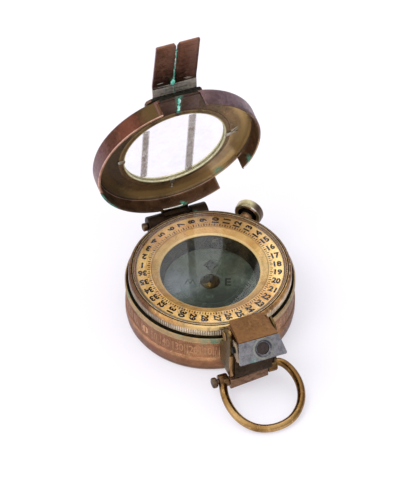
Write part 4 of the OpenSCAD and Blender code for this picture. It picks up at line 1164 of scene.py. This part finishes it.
def build_tongue():
    part = Part()
    # flange on the outer face
    part.add(plate(rnd([(-11.6, -22.4, 0.2), (-11.6, -26.9, 0.9), (-11.0, -28.0, 0.9), (-9.6, -28.7, 0.5), (8.6, -28.7, 0.6), (9.3, -28.0, 0.5), (9.3, -22.4, 0.2)], 0.2, 5),
                   24.02, 25.28, bevel=0.28, seg=3))
    # one bent sheet: from the flange round the fold, up to the bend and out along the leaves
    t = 0.8
    path = [(-25.6, 24.62), (-24.8, 24.6)]
    for k in range(0, 17):
        a = radians(-90 + 164.4 * k / 16)
        path.append((-23.9 + 1.9 * cos(a), 26.48 + 1.9 * sin(a)))
    e0, bend, tip = Vector(path[-1]), Vector((-29.13, 29.91)), Vector((-51.43, 29.29))
    for k in range(1, 6):
        path.append(tuple(e0.lerp(bend, 0.84 * k / 5)))
    b0, b1 = e0.lerp(bend, 0.84), bend.lerp(tip, 0.045)
    for k in range(1, 7):
        s = k / 6
        path.append(tuple(b0 * (1 - s) ** 2 + bend * 2 * s * (1 - s) + b1 * s * s))
    steps = 24
    for k in range(1, steps + 1):
        q = b1.lerp(tip, k / steps)
        path.append((q.x, q.y - 0.10 * sin(pi * k / steps)))
    pts = [Vector((0, p[0], p[1])) for p in path]
    L = [0.0]
    for a, b in zip(pts, pts[1:]):
        L.append(L[-1] + (b - a).length)
    norms = []
    for i in range(len(pts)):
        a, b = pts[max(0, i - 1)], pts[min(len(pts) - 1, i + 1)]
        d = (b - a).normalized()
        norms.append(Vector((0, d.z, -d.y)))
    top = L[-1]
    u_bend = top - (bend - tip).length

    def at(u, x, off):
        u = max(0.0, min(top, u))
        i = 0
        while i < len(L) - 2 and L[i + 1] < u:
            i += 1
        s = (u - L[i]) / (L[i + 1] - L[i])
        p = pts[i].lerp(pts[i + 1], s)
        n = norms[i].lerp(norms[i + 1], s).normalized()
        q = p + n * off
        return (x, q.y, q.z)

    def half(u):
        return 8.15 - 0.15 * min(1, max(0, (u - u_bend) / 20))

    u_slit = u_bend + 1.8
    N = 26
    cx, sx = 0.9, -0.4
    right, left = [], []
    for k in range(N + 1):
        u = top * k / N
        right.append((half(u), u, 0))
    right[-1] = (half(top), top, 0.6)
    right[0] = (half(0), 0, 0.3)
    vn, g = 1.5, 0.17
    slit_r = [(sx + 0.95, top, 0.3), (sx + g + 0.05, top - vn, 0.3)] + \
             [(sx + g - 0.05 * sin(k), top - vn - (top - vn - u_slit) * k / 10, 0) for k in range(1, 10)] + [(sx + 0.24, u_slit + 0.1, 0.1)]
    slit_l = [(sx - 0.24, u_slit + 0.1, 0.1)] + [(sx - g + 0.04 * sin(k * 2), u_slit + (top - vn - u_slit) * k / 10, 0) for k in range(1, 10)] + \
             [(sx - g - 0.05, top - vn, 0.3), (sx - 0.95, top, 0.3)]
    for k in range(N, -1, -1):
        u = top * k / N
        left.append((-half(u), u, 0))
    left[0] = (-half(top), top, 0.6)
    left[-1] = (-half(0), 0, 0.3)
    outline = rnd(right + slit_r + slit_l + left, 0, 3)
    v, f = plate(outline, -t / 2, t / 2, bevel=0.16, seg=2)
    # cut the flat sheet into rows so that it bends smoothly
    ob = _object((v, f))
    bm = bmesh.new()
    bm.from_mesh(ob.data)
    u = 0.35
    while u < top:
        geom = list(bm.verts) + list(bm.edges) + list(bm.faces)
        bmesh.ops.bisect_plane(bm, geom=geom, plane_co=(0, u, 0), plane_no=(0, 1, 0), dist=1e-4)
        u += 0.4 if u < u_bend + 1.5 else 1.0
    vs = [tuple(x.co) for x in bm.verts]
    bm.verts.index_update()
    fs = [tuple(x.index for x in fa.verts) for fa in bm.faces]
    bm.free()
    old = ob.data
    bpy.data.objects.remove(ob)
    bpy.data.meshes.remove(old)
    out = []
    for (x, uu, zz) in vs:
        lift = 0.0
        if uu > u_slit + 2:
            lift = (0.10 if x < sx else -0.05) * (uu - u_slit - 2) / (top - u_slit)
        out.append(at(uu, x + cx, zz + lift))
    out = weather(out, 0.03, 0.25, 3)
    part.add((out, fs))
    # the fold and the flange front take dark paint standing in for shade, and the tip's front edge a painted highlight
    for k, q in enumerate(part.f):
        c = sum((Vector(part.v[i]) for i in q), Vector()) / len(q)
        if c.y > (-27.9 if c.x < 0.5 else -28.3) and c.z > 25.7:
            part.m[k] = 4
        if (c.y > -24.4 and c.z > 25.7) or (c.z < 25.5 and c.y < -27.5 and abs(c.x) < 8.6):
            part.m[k] = 5
        p = [Vector(part.v[i]) for i in q[:3]]
        n = (p[1] - p[0]).cross(p[2] - p[1])
        if n.length > 0 and c.y < -29.5:
            n.normalize()
            if n.x < -0.45 and c.x < -6:
                part.m[k] = 6
            elif n.y < -0.35 and c.y < -50.6:
                part.m[k] = 7
    # green corrosion that has crept along the slit, and two painted highlight lines at the bend
    line = [at(u_slit - 0.4 + (top - 1.6 - u_slit) * k / 40, cx + sx + 0.07 * sin(k * 1.3), -0.32) for k in range(41)]
    part.add(sweep(line, lambda s: 0.17 + 0.08 * sin(s * 37) + 0.06 * sin(s * 91 + 1) + (0.16 if s < 0.2 else 0.0), 12, 2, Vector((1, 0, 0))), 1)
    blob = [at(u_slit - 2.5 + 0.4 * k, cx + sx - 0.35 + 0.05 * k, -0.30) for k in range(8)]
    part.add(sweep(blob, lambda s: 0.30 + 0.62 * sin(pi * min(1.0, s * 0.9 + 0.2)) * (1 - 0.45 * s), 18, 4, Vector((1, 0, 0))), 2)
    low = [at(u_bend - 1.2 - 0.35 * k, cx + sx + 0.05 * sin(k * 2.0), -0.38) for k in range(14)]
    part.add(sweep(low, lambda s: 0.14 + 0.06 * sin(s * 23), 12, 2, Vector((1, 0, 0))), 1)
    for x0, x1, du in ((-5.6, -3.2, 0.9), (4.2, 6.9, 0.7), (5.0, 7.4, 0.1)):
        dash = [at(u_bend + du, x0 + (x1 - x0) * k / 8, -0.40) for k in range(9)]
        part.add(sweep(dash, lambda s: 0.10 * sin(pi * min(1, max(0, s)) * 0.8 + 0.3), 10, 2), 3)
    piece("sighting_leaves", part, [M_TONGUE, M_VERD, M_VERDLIGHT, M_HIGHLIGHT, M_RISER, M_SHADE, M_LEAFSIDE, M_EDGE_SHINE], "lid", ["sight_tongue"], angle=38, pose=LID)
    part = Part()
    for x in (-4, 4):
        part.add(rod(1.2, 25.2, 25.82, 0.35, 32, 4), 0, T(x, -26.6, 0))
    piece("tongue_rivet_heads", part, M_FIT, "lid", ["tongue_rivets"], pose=LID)


build_tongue()


# ------------------------------------------------------------------ hinge
def build_hinge():
    part = Part()
    for x in (-11.2, 5.15):
        part.add(rod(3.38, x, x + 6.05, 0.35, 72, 4), 0, axis_x(HINGE_Y, HINGE_Z))
        part.add(side([(28.6, 11.06, 0.1), (33.0, 11.06, 0.1), (33.6, 14.4, 0.1), (33.0, 15.84, 0.4), (28.6, 15.84, 0.1)], x + 0.02, x + 6.03, bevel=0.15))
    v, f = plate(rnd([(-11.18, 28.4, 0.1), (11.18, 28.4, 0.1), (11.18, 30.73, 0.2), (-11.18, 30.73, 0.2)], 0.1), 11.06, 15.84, bevel=0.2, seg=3)
    part.add((v, f))
    part.v = weather(part.v, 0.025, 0.35, 6)
    piece("hinge_block", part, M_HINGE, "root", ["hinge_base"])
    part = Part()
    part.add(rod(0.88, -11.9, 11.68, 0.15), 0, axis_x(HINGE_Y, HINGE_Z))
    head = rod(1.5, -13.2, -11.27, 0.4, 40, 4)
    slot = block(-0.2, 0.2, -3, 3, -14.5, -12.9, 0.02, 0.01)
    part.add(boolean(head, [slot]), 0, axis_x(HINGE_Y, HINGE_Z))
    piece("hinge_pin_brass", part, M_HEAD, "root", ["hinge_pin"])


build_hinge()


# ------------------------------------------------------------------ clamp
def build_clamp():
    part = Part()
    # lug: a block on the wall with a narrow round ear that carries the screw
    P = [(7.75, -3.58, 0.4), (2.2, -3.58, 0.5), (2.1, -2.25, 0.3), (0.0, -2.28, 0)] + \
        [(2.28 * cos(radians(a)), 2.28 * sin(radians(a)), 0) for a in range(-105, -270, -15)] + \
        [(0.0, 2.28, 0), (2.1, 2.25, 0.3), (2.2, 3.58, 0.5), (7.75, 3.58, 0.4)]
    lug = plate(rnd(P, 0, 3), 29.2, 31.66, bevel=0.25)
    cut = spin([(0, 16.55), (29.38, 16.55), (29.38, 40), (0, 40)], 128)
    M = CLAMP
    lugw = ([tuple(M @ Vector(p)) for p in lug[0]], lug[1])
    part.add(boolean(lugw, [cut]))
    piece("clamp_lug_plate", part, M_CASE, "root", ["clamp_lug"])
    part = Part()
    part.add(spin(rnd([(0.001, 29.05), (0.75, 29.05, 0.1), (1.22, 29.6, 0.1), (1.22, 33.8, 0.1), (0.001, 33.8)], 0, 3), 36), 0, M)
    piece("clamp_shank", part, M_STEEL, "clamp", ["clamp_screw"])
    rk = 5.1
    P = [(0.0, 35.8), (1.2, 35.78, 0), (3.9, 35.72, 0.5), (4.75, 35.45, 0.5), (rk, 34.9, 0.3), (rk, 33.0, 0.3), (4.9, 32.3, 0.3), (4.55, 32.02, 0.2),
         (3.65, 32.05, 0.15), (3.45, 32.5, 0.2), (3.35, 33.6, 0.3), (2.3, 33.75, 0.3), (2.15, 32.3, 0.2), (1.3, 32.1, 0.1), (1.3, 33.7, 0)]
    Q = [(0.0, 35.8)] + rnd(P[1:] + [(0.001, 33.7, 0), (0.001, 35.8, 0)], 0, 4)[:-2] + [(0.0, 33.7)]
    v, f = spin(Q, 96)
    # the lip face takes the lit copy of the knob brass with a painted highlight patch near 212 degrees, the outer side
    # the shaded copy, and the hollow painted black as shade
    part = Part()
    for q in f:
        c = sum((Vector(v[i]) for i in q), Vector()) / len(q)
        rr, ang = hypot(c.x, c.y), degrees(atan2(c.y, c.x)) % 360
        lipface = c.z < 32.4 and rr > 3.45
        part.m.append(2 if lipface and abs(ang - 212) < 14 else 0 if lipface else 3 if rr < 3.5 and 32.1 < c.z < 34.0 else 1)
    part.v, part.f = [tuple(M @ Vector(p)) for p in v], [tuple(q) for q in f]
    piece("clamp_knob_turned", part, [M_KNOB_LIT, M_KNOB_SHADED, M_HIGHLIGHT, M_BLACK], "clamp", ["clamp_knob"])


build_clamp()


# ------------------------------------------------------------------ prism
def build_prism():
    dx = PRISM_DX
    # rail on the case
    part = Part()
    part.add(plate(rnd([(-3.4, -30.9 + 1.6), (3.4, -30.9 + 1.6), (3.4, -30.9), (5.2, -32.8), (-5.2, -32.8), (-3.4, -30.9)], 0.08), 8.25, 16.35, bevel=0.1))
    piece("prism_rail", part, M_CASE, "root", ["slide_rail"])
    part = Part()
    # carriage plate with its dovetail slot, and two arms
    Pc = [(-8.1, -31.1, 0.25), (-8.1, -34.6, 0.5), (8.1 + dx, -34.6, 0.5), (8.1 + dx, -31.1, 0.25), (3.55, -31.1, 0.1), (5.35, -32.88, 0.1), (-5.35, -32.88, 0.1), (-3.55, -31.1, 0.1)]
    part.add(plate(rnd(Pc, 0.1, 3), 9.22, 18.18, bevel=0.2, seg=3))
    armP = [(-33.4, 9.22, 0.4), (-33.4, 18.4, 1.0), (-34.4, 27.2, 1.2), (-35.2, 28.38, 1.2), (-39.1, 28.38, 1.3), (-40.38, 27.0, 0.8), (-40.15, 17, 0.8), (-40.55, 12, 0.8), (-40.15, 9.22, 0.5)]
    for x0, x1 in ((-8.09, -7.23), (7.23 + dx, 8.09 + dx)):
        part.add(side(armP, x0, x1, bevel=0.2))
    # the left arm's front edge is turned in below the housing
    part.add(block(-8.08, -6.0, -40.58, -39.75, 9.3, 19.4, 0.2, 0.15), 1)
    part.v = weather(part.v, 0.03, 0.3, 5)
    piece("prism_carriage", part, [M_ARM, M_ARMFRONT], "carriage", ["slide_carriage"], angle=38)
    # leaf spring
    part = Part()
    leaf = [(-34.7, 9.45, 0.05), (-41.6, 9.45, 0.9), (-42.58, 10.6, 0.6), (-42.5, 19.2, 0.1), (-42.12, 19.2, 0.1), (-42.15, 10.9, 0.4), (-41.4, 9.88, 0.5), (-34.7, 9.88, 0.05)]
    part.add(side(leaf, -6.85, 6.85, bevel=0.08))
    piece("prism_leaf_spring", part, M_SPRING, "carriage", ["prism_spring"])
    part = Part()
    for a, b in ((-8.6, dx - 6.35), (dx + 6.35, dx + 8.6)):
        part.add(rod(0.98, a, b, 0.1), 0, axis_x(PF_Y, PF_Z))
    for a, b in ((-8.61, -8.14), (dx + 8.14, dx + 8.61), (-7.18, dx - 7.2)):
        part.add(rod(1.68, a, b, 0.16), 0, axis_x(PF_Y, PF_Z))
    piece("prism_pivot_pins", part, M_FIT, "carriage", ["prism_pivots"])
    # housing
    part = Part()
    cheek = [(-33.05, 27.6, 0.5), (-33.05, 22.6, 1.2), (-36.2, 20.25, 1.0), (-44.2, 20.25, 0.8), (-46.55, 22.45, 0.3), (-42.85, 27.83, 0.3)]
    for a, b in ((-7.09, -6.41), (6.41, 7.09)):
        part.add(side(cheek, a + dx, b + dx, bevel=0.14))
    # a narrow side strip, bent back from the eyepiece plate's left edge
    strip = [(-43.5, 27.3, 0.2), (-47.0, 22.3, 0.2), (-44.3, 20.4, 0.3), (-40.9, 22.6, 0.3), (-39.9, 27.2, 0.3)]
    part.add(side(strip, -7.1, -6.5, bevel=0.12), 1)
    part.add(block(-7.0, -5.4, -43.6, -40.6, 25.6, 26.4, 0.1, 0.1), 1)
    v, f = plate(rnd([(-6.5, 0.0, 0.5), (-7.19, -11.78, 0.25), (7.19, -11.78, 0.25), (5.6, 0.0, 1.4)], 0.3, 5), 0.0, 0.75, bevel=0.24, seg=3)
    v = [(x, y, z + 0.05 * sin(x * 0.35 + 1) * (1 if z > 0.3 else 0.0)) for x, y, z in v]
    Mt = T(dx, -31.9, 27.51) @ R(-2.6, "X")
    part.add((v, f), 0, Mt)
    part.add(block(-6.4 + dx, 6.4 + dx, -33.5, -32.95, 22.65, 27.6, 0.1, 0.08))
    part.add(block(-6.4 + dx, 6.4 + dx, -44.2, -36.3, 20.26, 20.8, 0.2, 0.1))
    part.v = weather(part.v, 0.03, 0.3, 9)
    piece("prism_housing", part, [M_PRISM, M_STRIPTAN], "prism", ["prism_case"], angle=38)
    # eyepiece plate
    out = rnd([(-7.25, -0.1, 0.25), (7.3, -0.1, 0.25), (8.9, -7.3, 0.5), (8.6, -7.8, 0.3), (3.2, -7.72, 0.3), (1.6, -7.8, 0.3), (-8.3, -7.8, 0.3), (-8.5, -7.3, 0.3)][::-1], 0.2, 4)
    base = plate(out, -1.13, 0.0, bevel=0.2, seg=3)
    ex = 1.0
    cone = spin([(0, -3), (2.3, -3), (2.3, -0.7), (2.5, -0.6), (2.95, -0.2), (3.1, 0.0), (3.1, 1.0), (0, 1.0)], 72)
    cone = ([(x + ex, y - 3.9, z) for x, y, z in cone[0]], cone[1])
    v, f = boolean(base, [cone])
    rim = spin(rnd([(3.08, -0.4, 0), (3.8, -0.4, 0), (3.8, 0.0, 0.06), (3.6, 0.09, 0.15), (3.2, 0.06, 0.1), (3.08, -0.1, 0.05)], 0, 3), 72)
    rim = ([(x + ex, y - 3.9, z) for x, y, z in rim[0]], rim[1])
    part = Part()
    sh = []
    for x, y, z in v:
        q = max(0.0, 1 - hypot(x - 6.4, y + 6.6) / 2.6)
        sh.append((x, y, z - 0.28 * q * q * (3 - 2 * q)))
    part.add((weather(sh, 0.04, 0.4, 2), f), 0, T(dx, 0, 0) @ EPF)
    part.add(rim, 1, T(dx, 0, 0) @ EPF)
    piece("eye_plate", part, [M_ZINC, M_ZINCRIM], "prism", ["eyepiece_plate"], angle=38)
    part = Part()
    for s in (-1, 1):
        a, b = (-7.62, -6.2) if s < 0 else (6.2, 7.62)
        part.add(rod(0.68, a + dx, b + dx, 0.1, 24), 0, axis_x(-42.3, 24.6))
        a, b = (-9.25, -7.1) if s < 0 else (7.1, 7.64)
        part.add(rod(1.25, a + dx, b + dx, 0.35, 36, 4), 0, axis_x(-42.3, 24.6))
    piece("housing_side_screws", part, M_BLACK, "prism", ["housing_screws"])


build_prism()


# ------------------------------------------------------------------ thumb ring
def build_ring():
    part = Part()
    part.add(side([(-29.2, 2.65, 0.1), (-36.3, 2.65, 0.5), (-36.95, 4.3, 0.1), (-29.2, 4.3, 0.1)], -6.15, 6.15, bevel=0.15))
    v, f = side([(-36.6, 4.0, 0.5), (-36.95, 6.2, 0.1), (-37.15, 7.95, 0.7), (-40.05, 7.98, 0.45), (-40.28, 4.3, 0.35), (-39.6, 3.95, 0.3)], -7.88, 6.38, bevel=0.22)
    part.add(([(x, y - 0.05 * (6.4 - x), z - 0.055 * (6.4 - x)) for x, y, z in v], f))
    part.add(plate(rnd([(-6.15, -31.55), (6.15, -31.55), (6.15, -28.8), (-6.15, -28.8)], 0.2), 2.65, 7.15, bevel=0.12))
    part.v = weather(part.v, 0.03, 0.35, 4)
    piece("ring_bracket_bar", part, M_BAR, "root", ["ring_bracket"], angle=38)
    part = Part()
    part.add(rod(0.93, -12.3, 9.08, 0.1), 0, axis_x(RP_Y, RP_Z))
    head = rod(1.88, -13.98, -12.22, 0.5, 40, 4)
    slot = block(-3, 3, -0.25, 0.25, -15.5, -13.6, 0.02, 0.01)
    part.add(boolean(head, [slot]), 0, axis_x(RP_Y, RP_Z))
    piece("ring_pin_brass", part, M_HEAD, "root", ["ring_pin"])
    part = Part()
    path = smooth_path([(x, y, 0.0) for x, y in (
        (-9.75, 0.45), (-10.55, -1.9), (-11.2, -4.5), (-11.5, -7.0), (-11.45, -10.0), (-10.98, -12.75), (-10.25, -15.1), (-9.15, -17.3), (-7.75, -19.2),
        (-6.05, -20.8), (-4.1, -22.0), (-1.95, -22.75), (0.3, -23.1), (2.8, -23.05), (5.4, -22.5), (8.0, -21.3), (10.35, -19.4), (12.35, -17.0),
        (13.85, -14.15), (14.75, -11.0), (15.0, -7.8), (14.6, -4.7), (13.7, -1.95), (12.6, -0.05), (11.3, 1.05), (9.9, 1.2), (8.6, 0.7))], 210)
    wave = [Vector((p.x, p.y, p.z + 0.10 * sin(i * 0.07))) for i, p in enumerate(path)]
    part.add(sweep(wave, lambda t: WIRE_R * (1 - 0.06 * max(0, (t - 0.93) / 0.07)), 32, 4), 0, RINGF)
    eye = rnd([(1.02, -11.58, 0.1), (2.38, -11.58, 0.55), (2.38, -8.12, 0.55), (1.02, -8.12, 0.1)], 0, 4)
    part.add(spin(eye, 56), 0, RINGF @ axis_x(0, 0))
    # the blind eye at the right
    eye = [(0, 9.3), (1.02, 9.28), (1.02, 6.66), (1.1, 6.6), (1.35, 6.62), (1.6, 6.85), (1.6, 9.6), (1.3, 10.0), (0, 10.1)]
    part.add(spin(eye, 56), 0, RINGF @ axis_x(0, 0))
    piece("thumb_ring_wire", part, M_RING, "ring", ["thumb_ring"], angle=40)


build_ring()

# ------------------------------------------------------------------ carried-over CAD pieces
for node, m in {
    "base_plate": M_CASE, "base_screws": M_STEEL, "capsule_bowl": M_BOWL, "capsule_gasket": M_RUBBER, "dial_glass": M_DIALGLASS,
    "expansion_diaphragm": M_BOWL, "pivot_post": M_STEEL, "rail_screws": M_STEEL, "filler_plug": M_CASE, "bezel_glass": M_GLASS,
    "bezel_gasket": M_RUBBER, "jewel_cup": M_JEWEL, "magnet_bars": M_STEEL, "lid_glass": M_LIDGLASS, "prism_glass": M_PRISMGLASS,
    "eye_lens": M_LENS,
}.items():
    o = NODES[node]
    if not o.material_slots:
        o.data.materials.append(m)
    for s in o.material_slots:
        s.material = m

# ------------------------------------------------------------------ floor and light
def build_stage():
    me = bpy.data.meshes.new("table_top")
    s = 3.0
    me.from_pydata([(-s, -s, 0), (s, -s, 0), (s, s, 0), (-s, s, 0)], [], [(0, 1, 2, 3)])
    m = Mat("table_pale")
    n1 = m.noise(0.01, 2, 0.5)
    c = m.mix(m.mapr(n1, 0.3, 0.7), (0.885, 0.865, 0.925, 1), (0.90, 0.885, 0.935, 1))
    df = m.node("BsdfDiffuse", {"Color": c})
    em = m.node("Emission", {"Color": (0.905, 0.885, 0.945, 1), "Strength": 0.98})
    mx = m.node("MixShader", {0: 0.55, 1: df.outputs[0], 2: em.outputs[0]})
    me.materials.append(m.finish(mx.outputs[0]))
    ob = bpy.data.objects.new("table_top", me)
    bpy.context.scene.collection.objects.link(ob)
    w = bpy.data.worlds.new("studio")
    bpy.context.scene.world = w
    w.use_nodes = True
    t = w.node_tree
    t.nodes.clear()
    out = t.nodes.new("ShaderNodeOutputWorld")
    bg = t.nodes.new("ShaderNodeBackground")
    tc = t.nodes.new("ShaderNodeTexCoord")

    def mathn(op, x, y):
        n = t.nodes.new("ShaderNodeMath")
        n.operation = op
        for s, q in zip(n.inputs, (x, y)):
            if isinstance(q, bpy.types.NodeSocket):
                t.links.new(q, s)
            else:
                s.default_value = q
        return n.outputs[0]

    def blob(direction, inner, outer, gain):
        """A soft round light far away: full within inner degrees, gone beyond outer."""
        n = t.nodes.new("ShaderNodeVectorMath")
        n.operation = "DOT_PRODUCT"
        t.links.new(tc.outputs["Generated"], n.inputs[0])
        n.inputs[1].default_value = Vector(direction).normalized()
        k = t.nodes.new("ShaderNodeMapRange")
        k.interpolation_type = "SMOOTHSTEP"
        t.links.new(n.outputs["Value"], k.inputs["Value"])
        k.inputs["From Min"].default_value = cos(radians(outer))
        k.inputs["From Max"].default_value = cos(radians(inner))
        k.inputs["To Min"].default_value = 0.0
        k.inputs["To Max"].default_value = gain
        return k.outputs["Result"]

    total = 0.66
    for d, i, o, g in (((-0.55, -0.35, 0.75), 15, 75, 0.5), ((0.0, 0.0, 1.0), 10, 70, 0.25), ((0.3, 0.8, 0.7), 15, 50, 0.8),
                       ((-0.9, 0.3, 0.35), 8, 45, 0.55), ((0.9, 0.2, 0.3), 10, 50, -0.25)):
        total = mathn("ADD", total, blob(d, i, o, g))
    bg.inputs["Color"].default_value = (0.985, 0.98, 1.0, 1)
    t.links.new(mathn("MAXIMUM", total, 0.12), bg.inputs["Strength"])
    t.links.new(bg.outputs[0], out.inputs["Surface"])

    def area(name, loc, target, size, power, col=(1, 1, 1)):
        L = bpy.data.lights.new(name, "AREA")
        L.shape, L.size, L.energy, L.color = "DISK", size, power, col
        ob = bpy.data.objects.new(name, L)
        ob.location = loc
        d = Vector(target) - Vector(loc)
        ob.rotation_mode = "QUATERNION"
        ob.rotation_quaternion = d.to_track_quat("-Z", "Y")
        ob.visible_glossy = False
        bpy.context.scene.collection.objects.link(ob)

    area("key", (-0.9, -0.2, 1.5), (0, 0, 0.02), 0.9, 9, (1.0, 0.985, 0.96))
    area("fill", (1.1, -0.9, 0.9), (0, 0, 0.03), 0.8, 4, (0.97, 0.98, 1.0))


build_stage()
bpy.context.scene.view_settings.view_transform = "Standard"
bpy.context.scene.view_settings.look = "None"
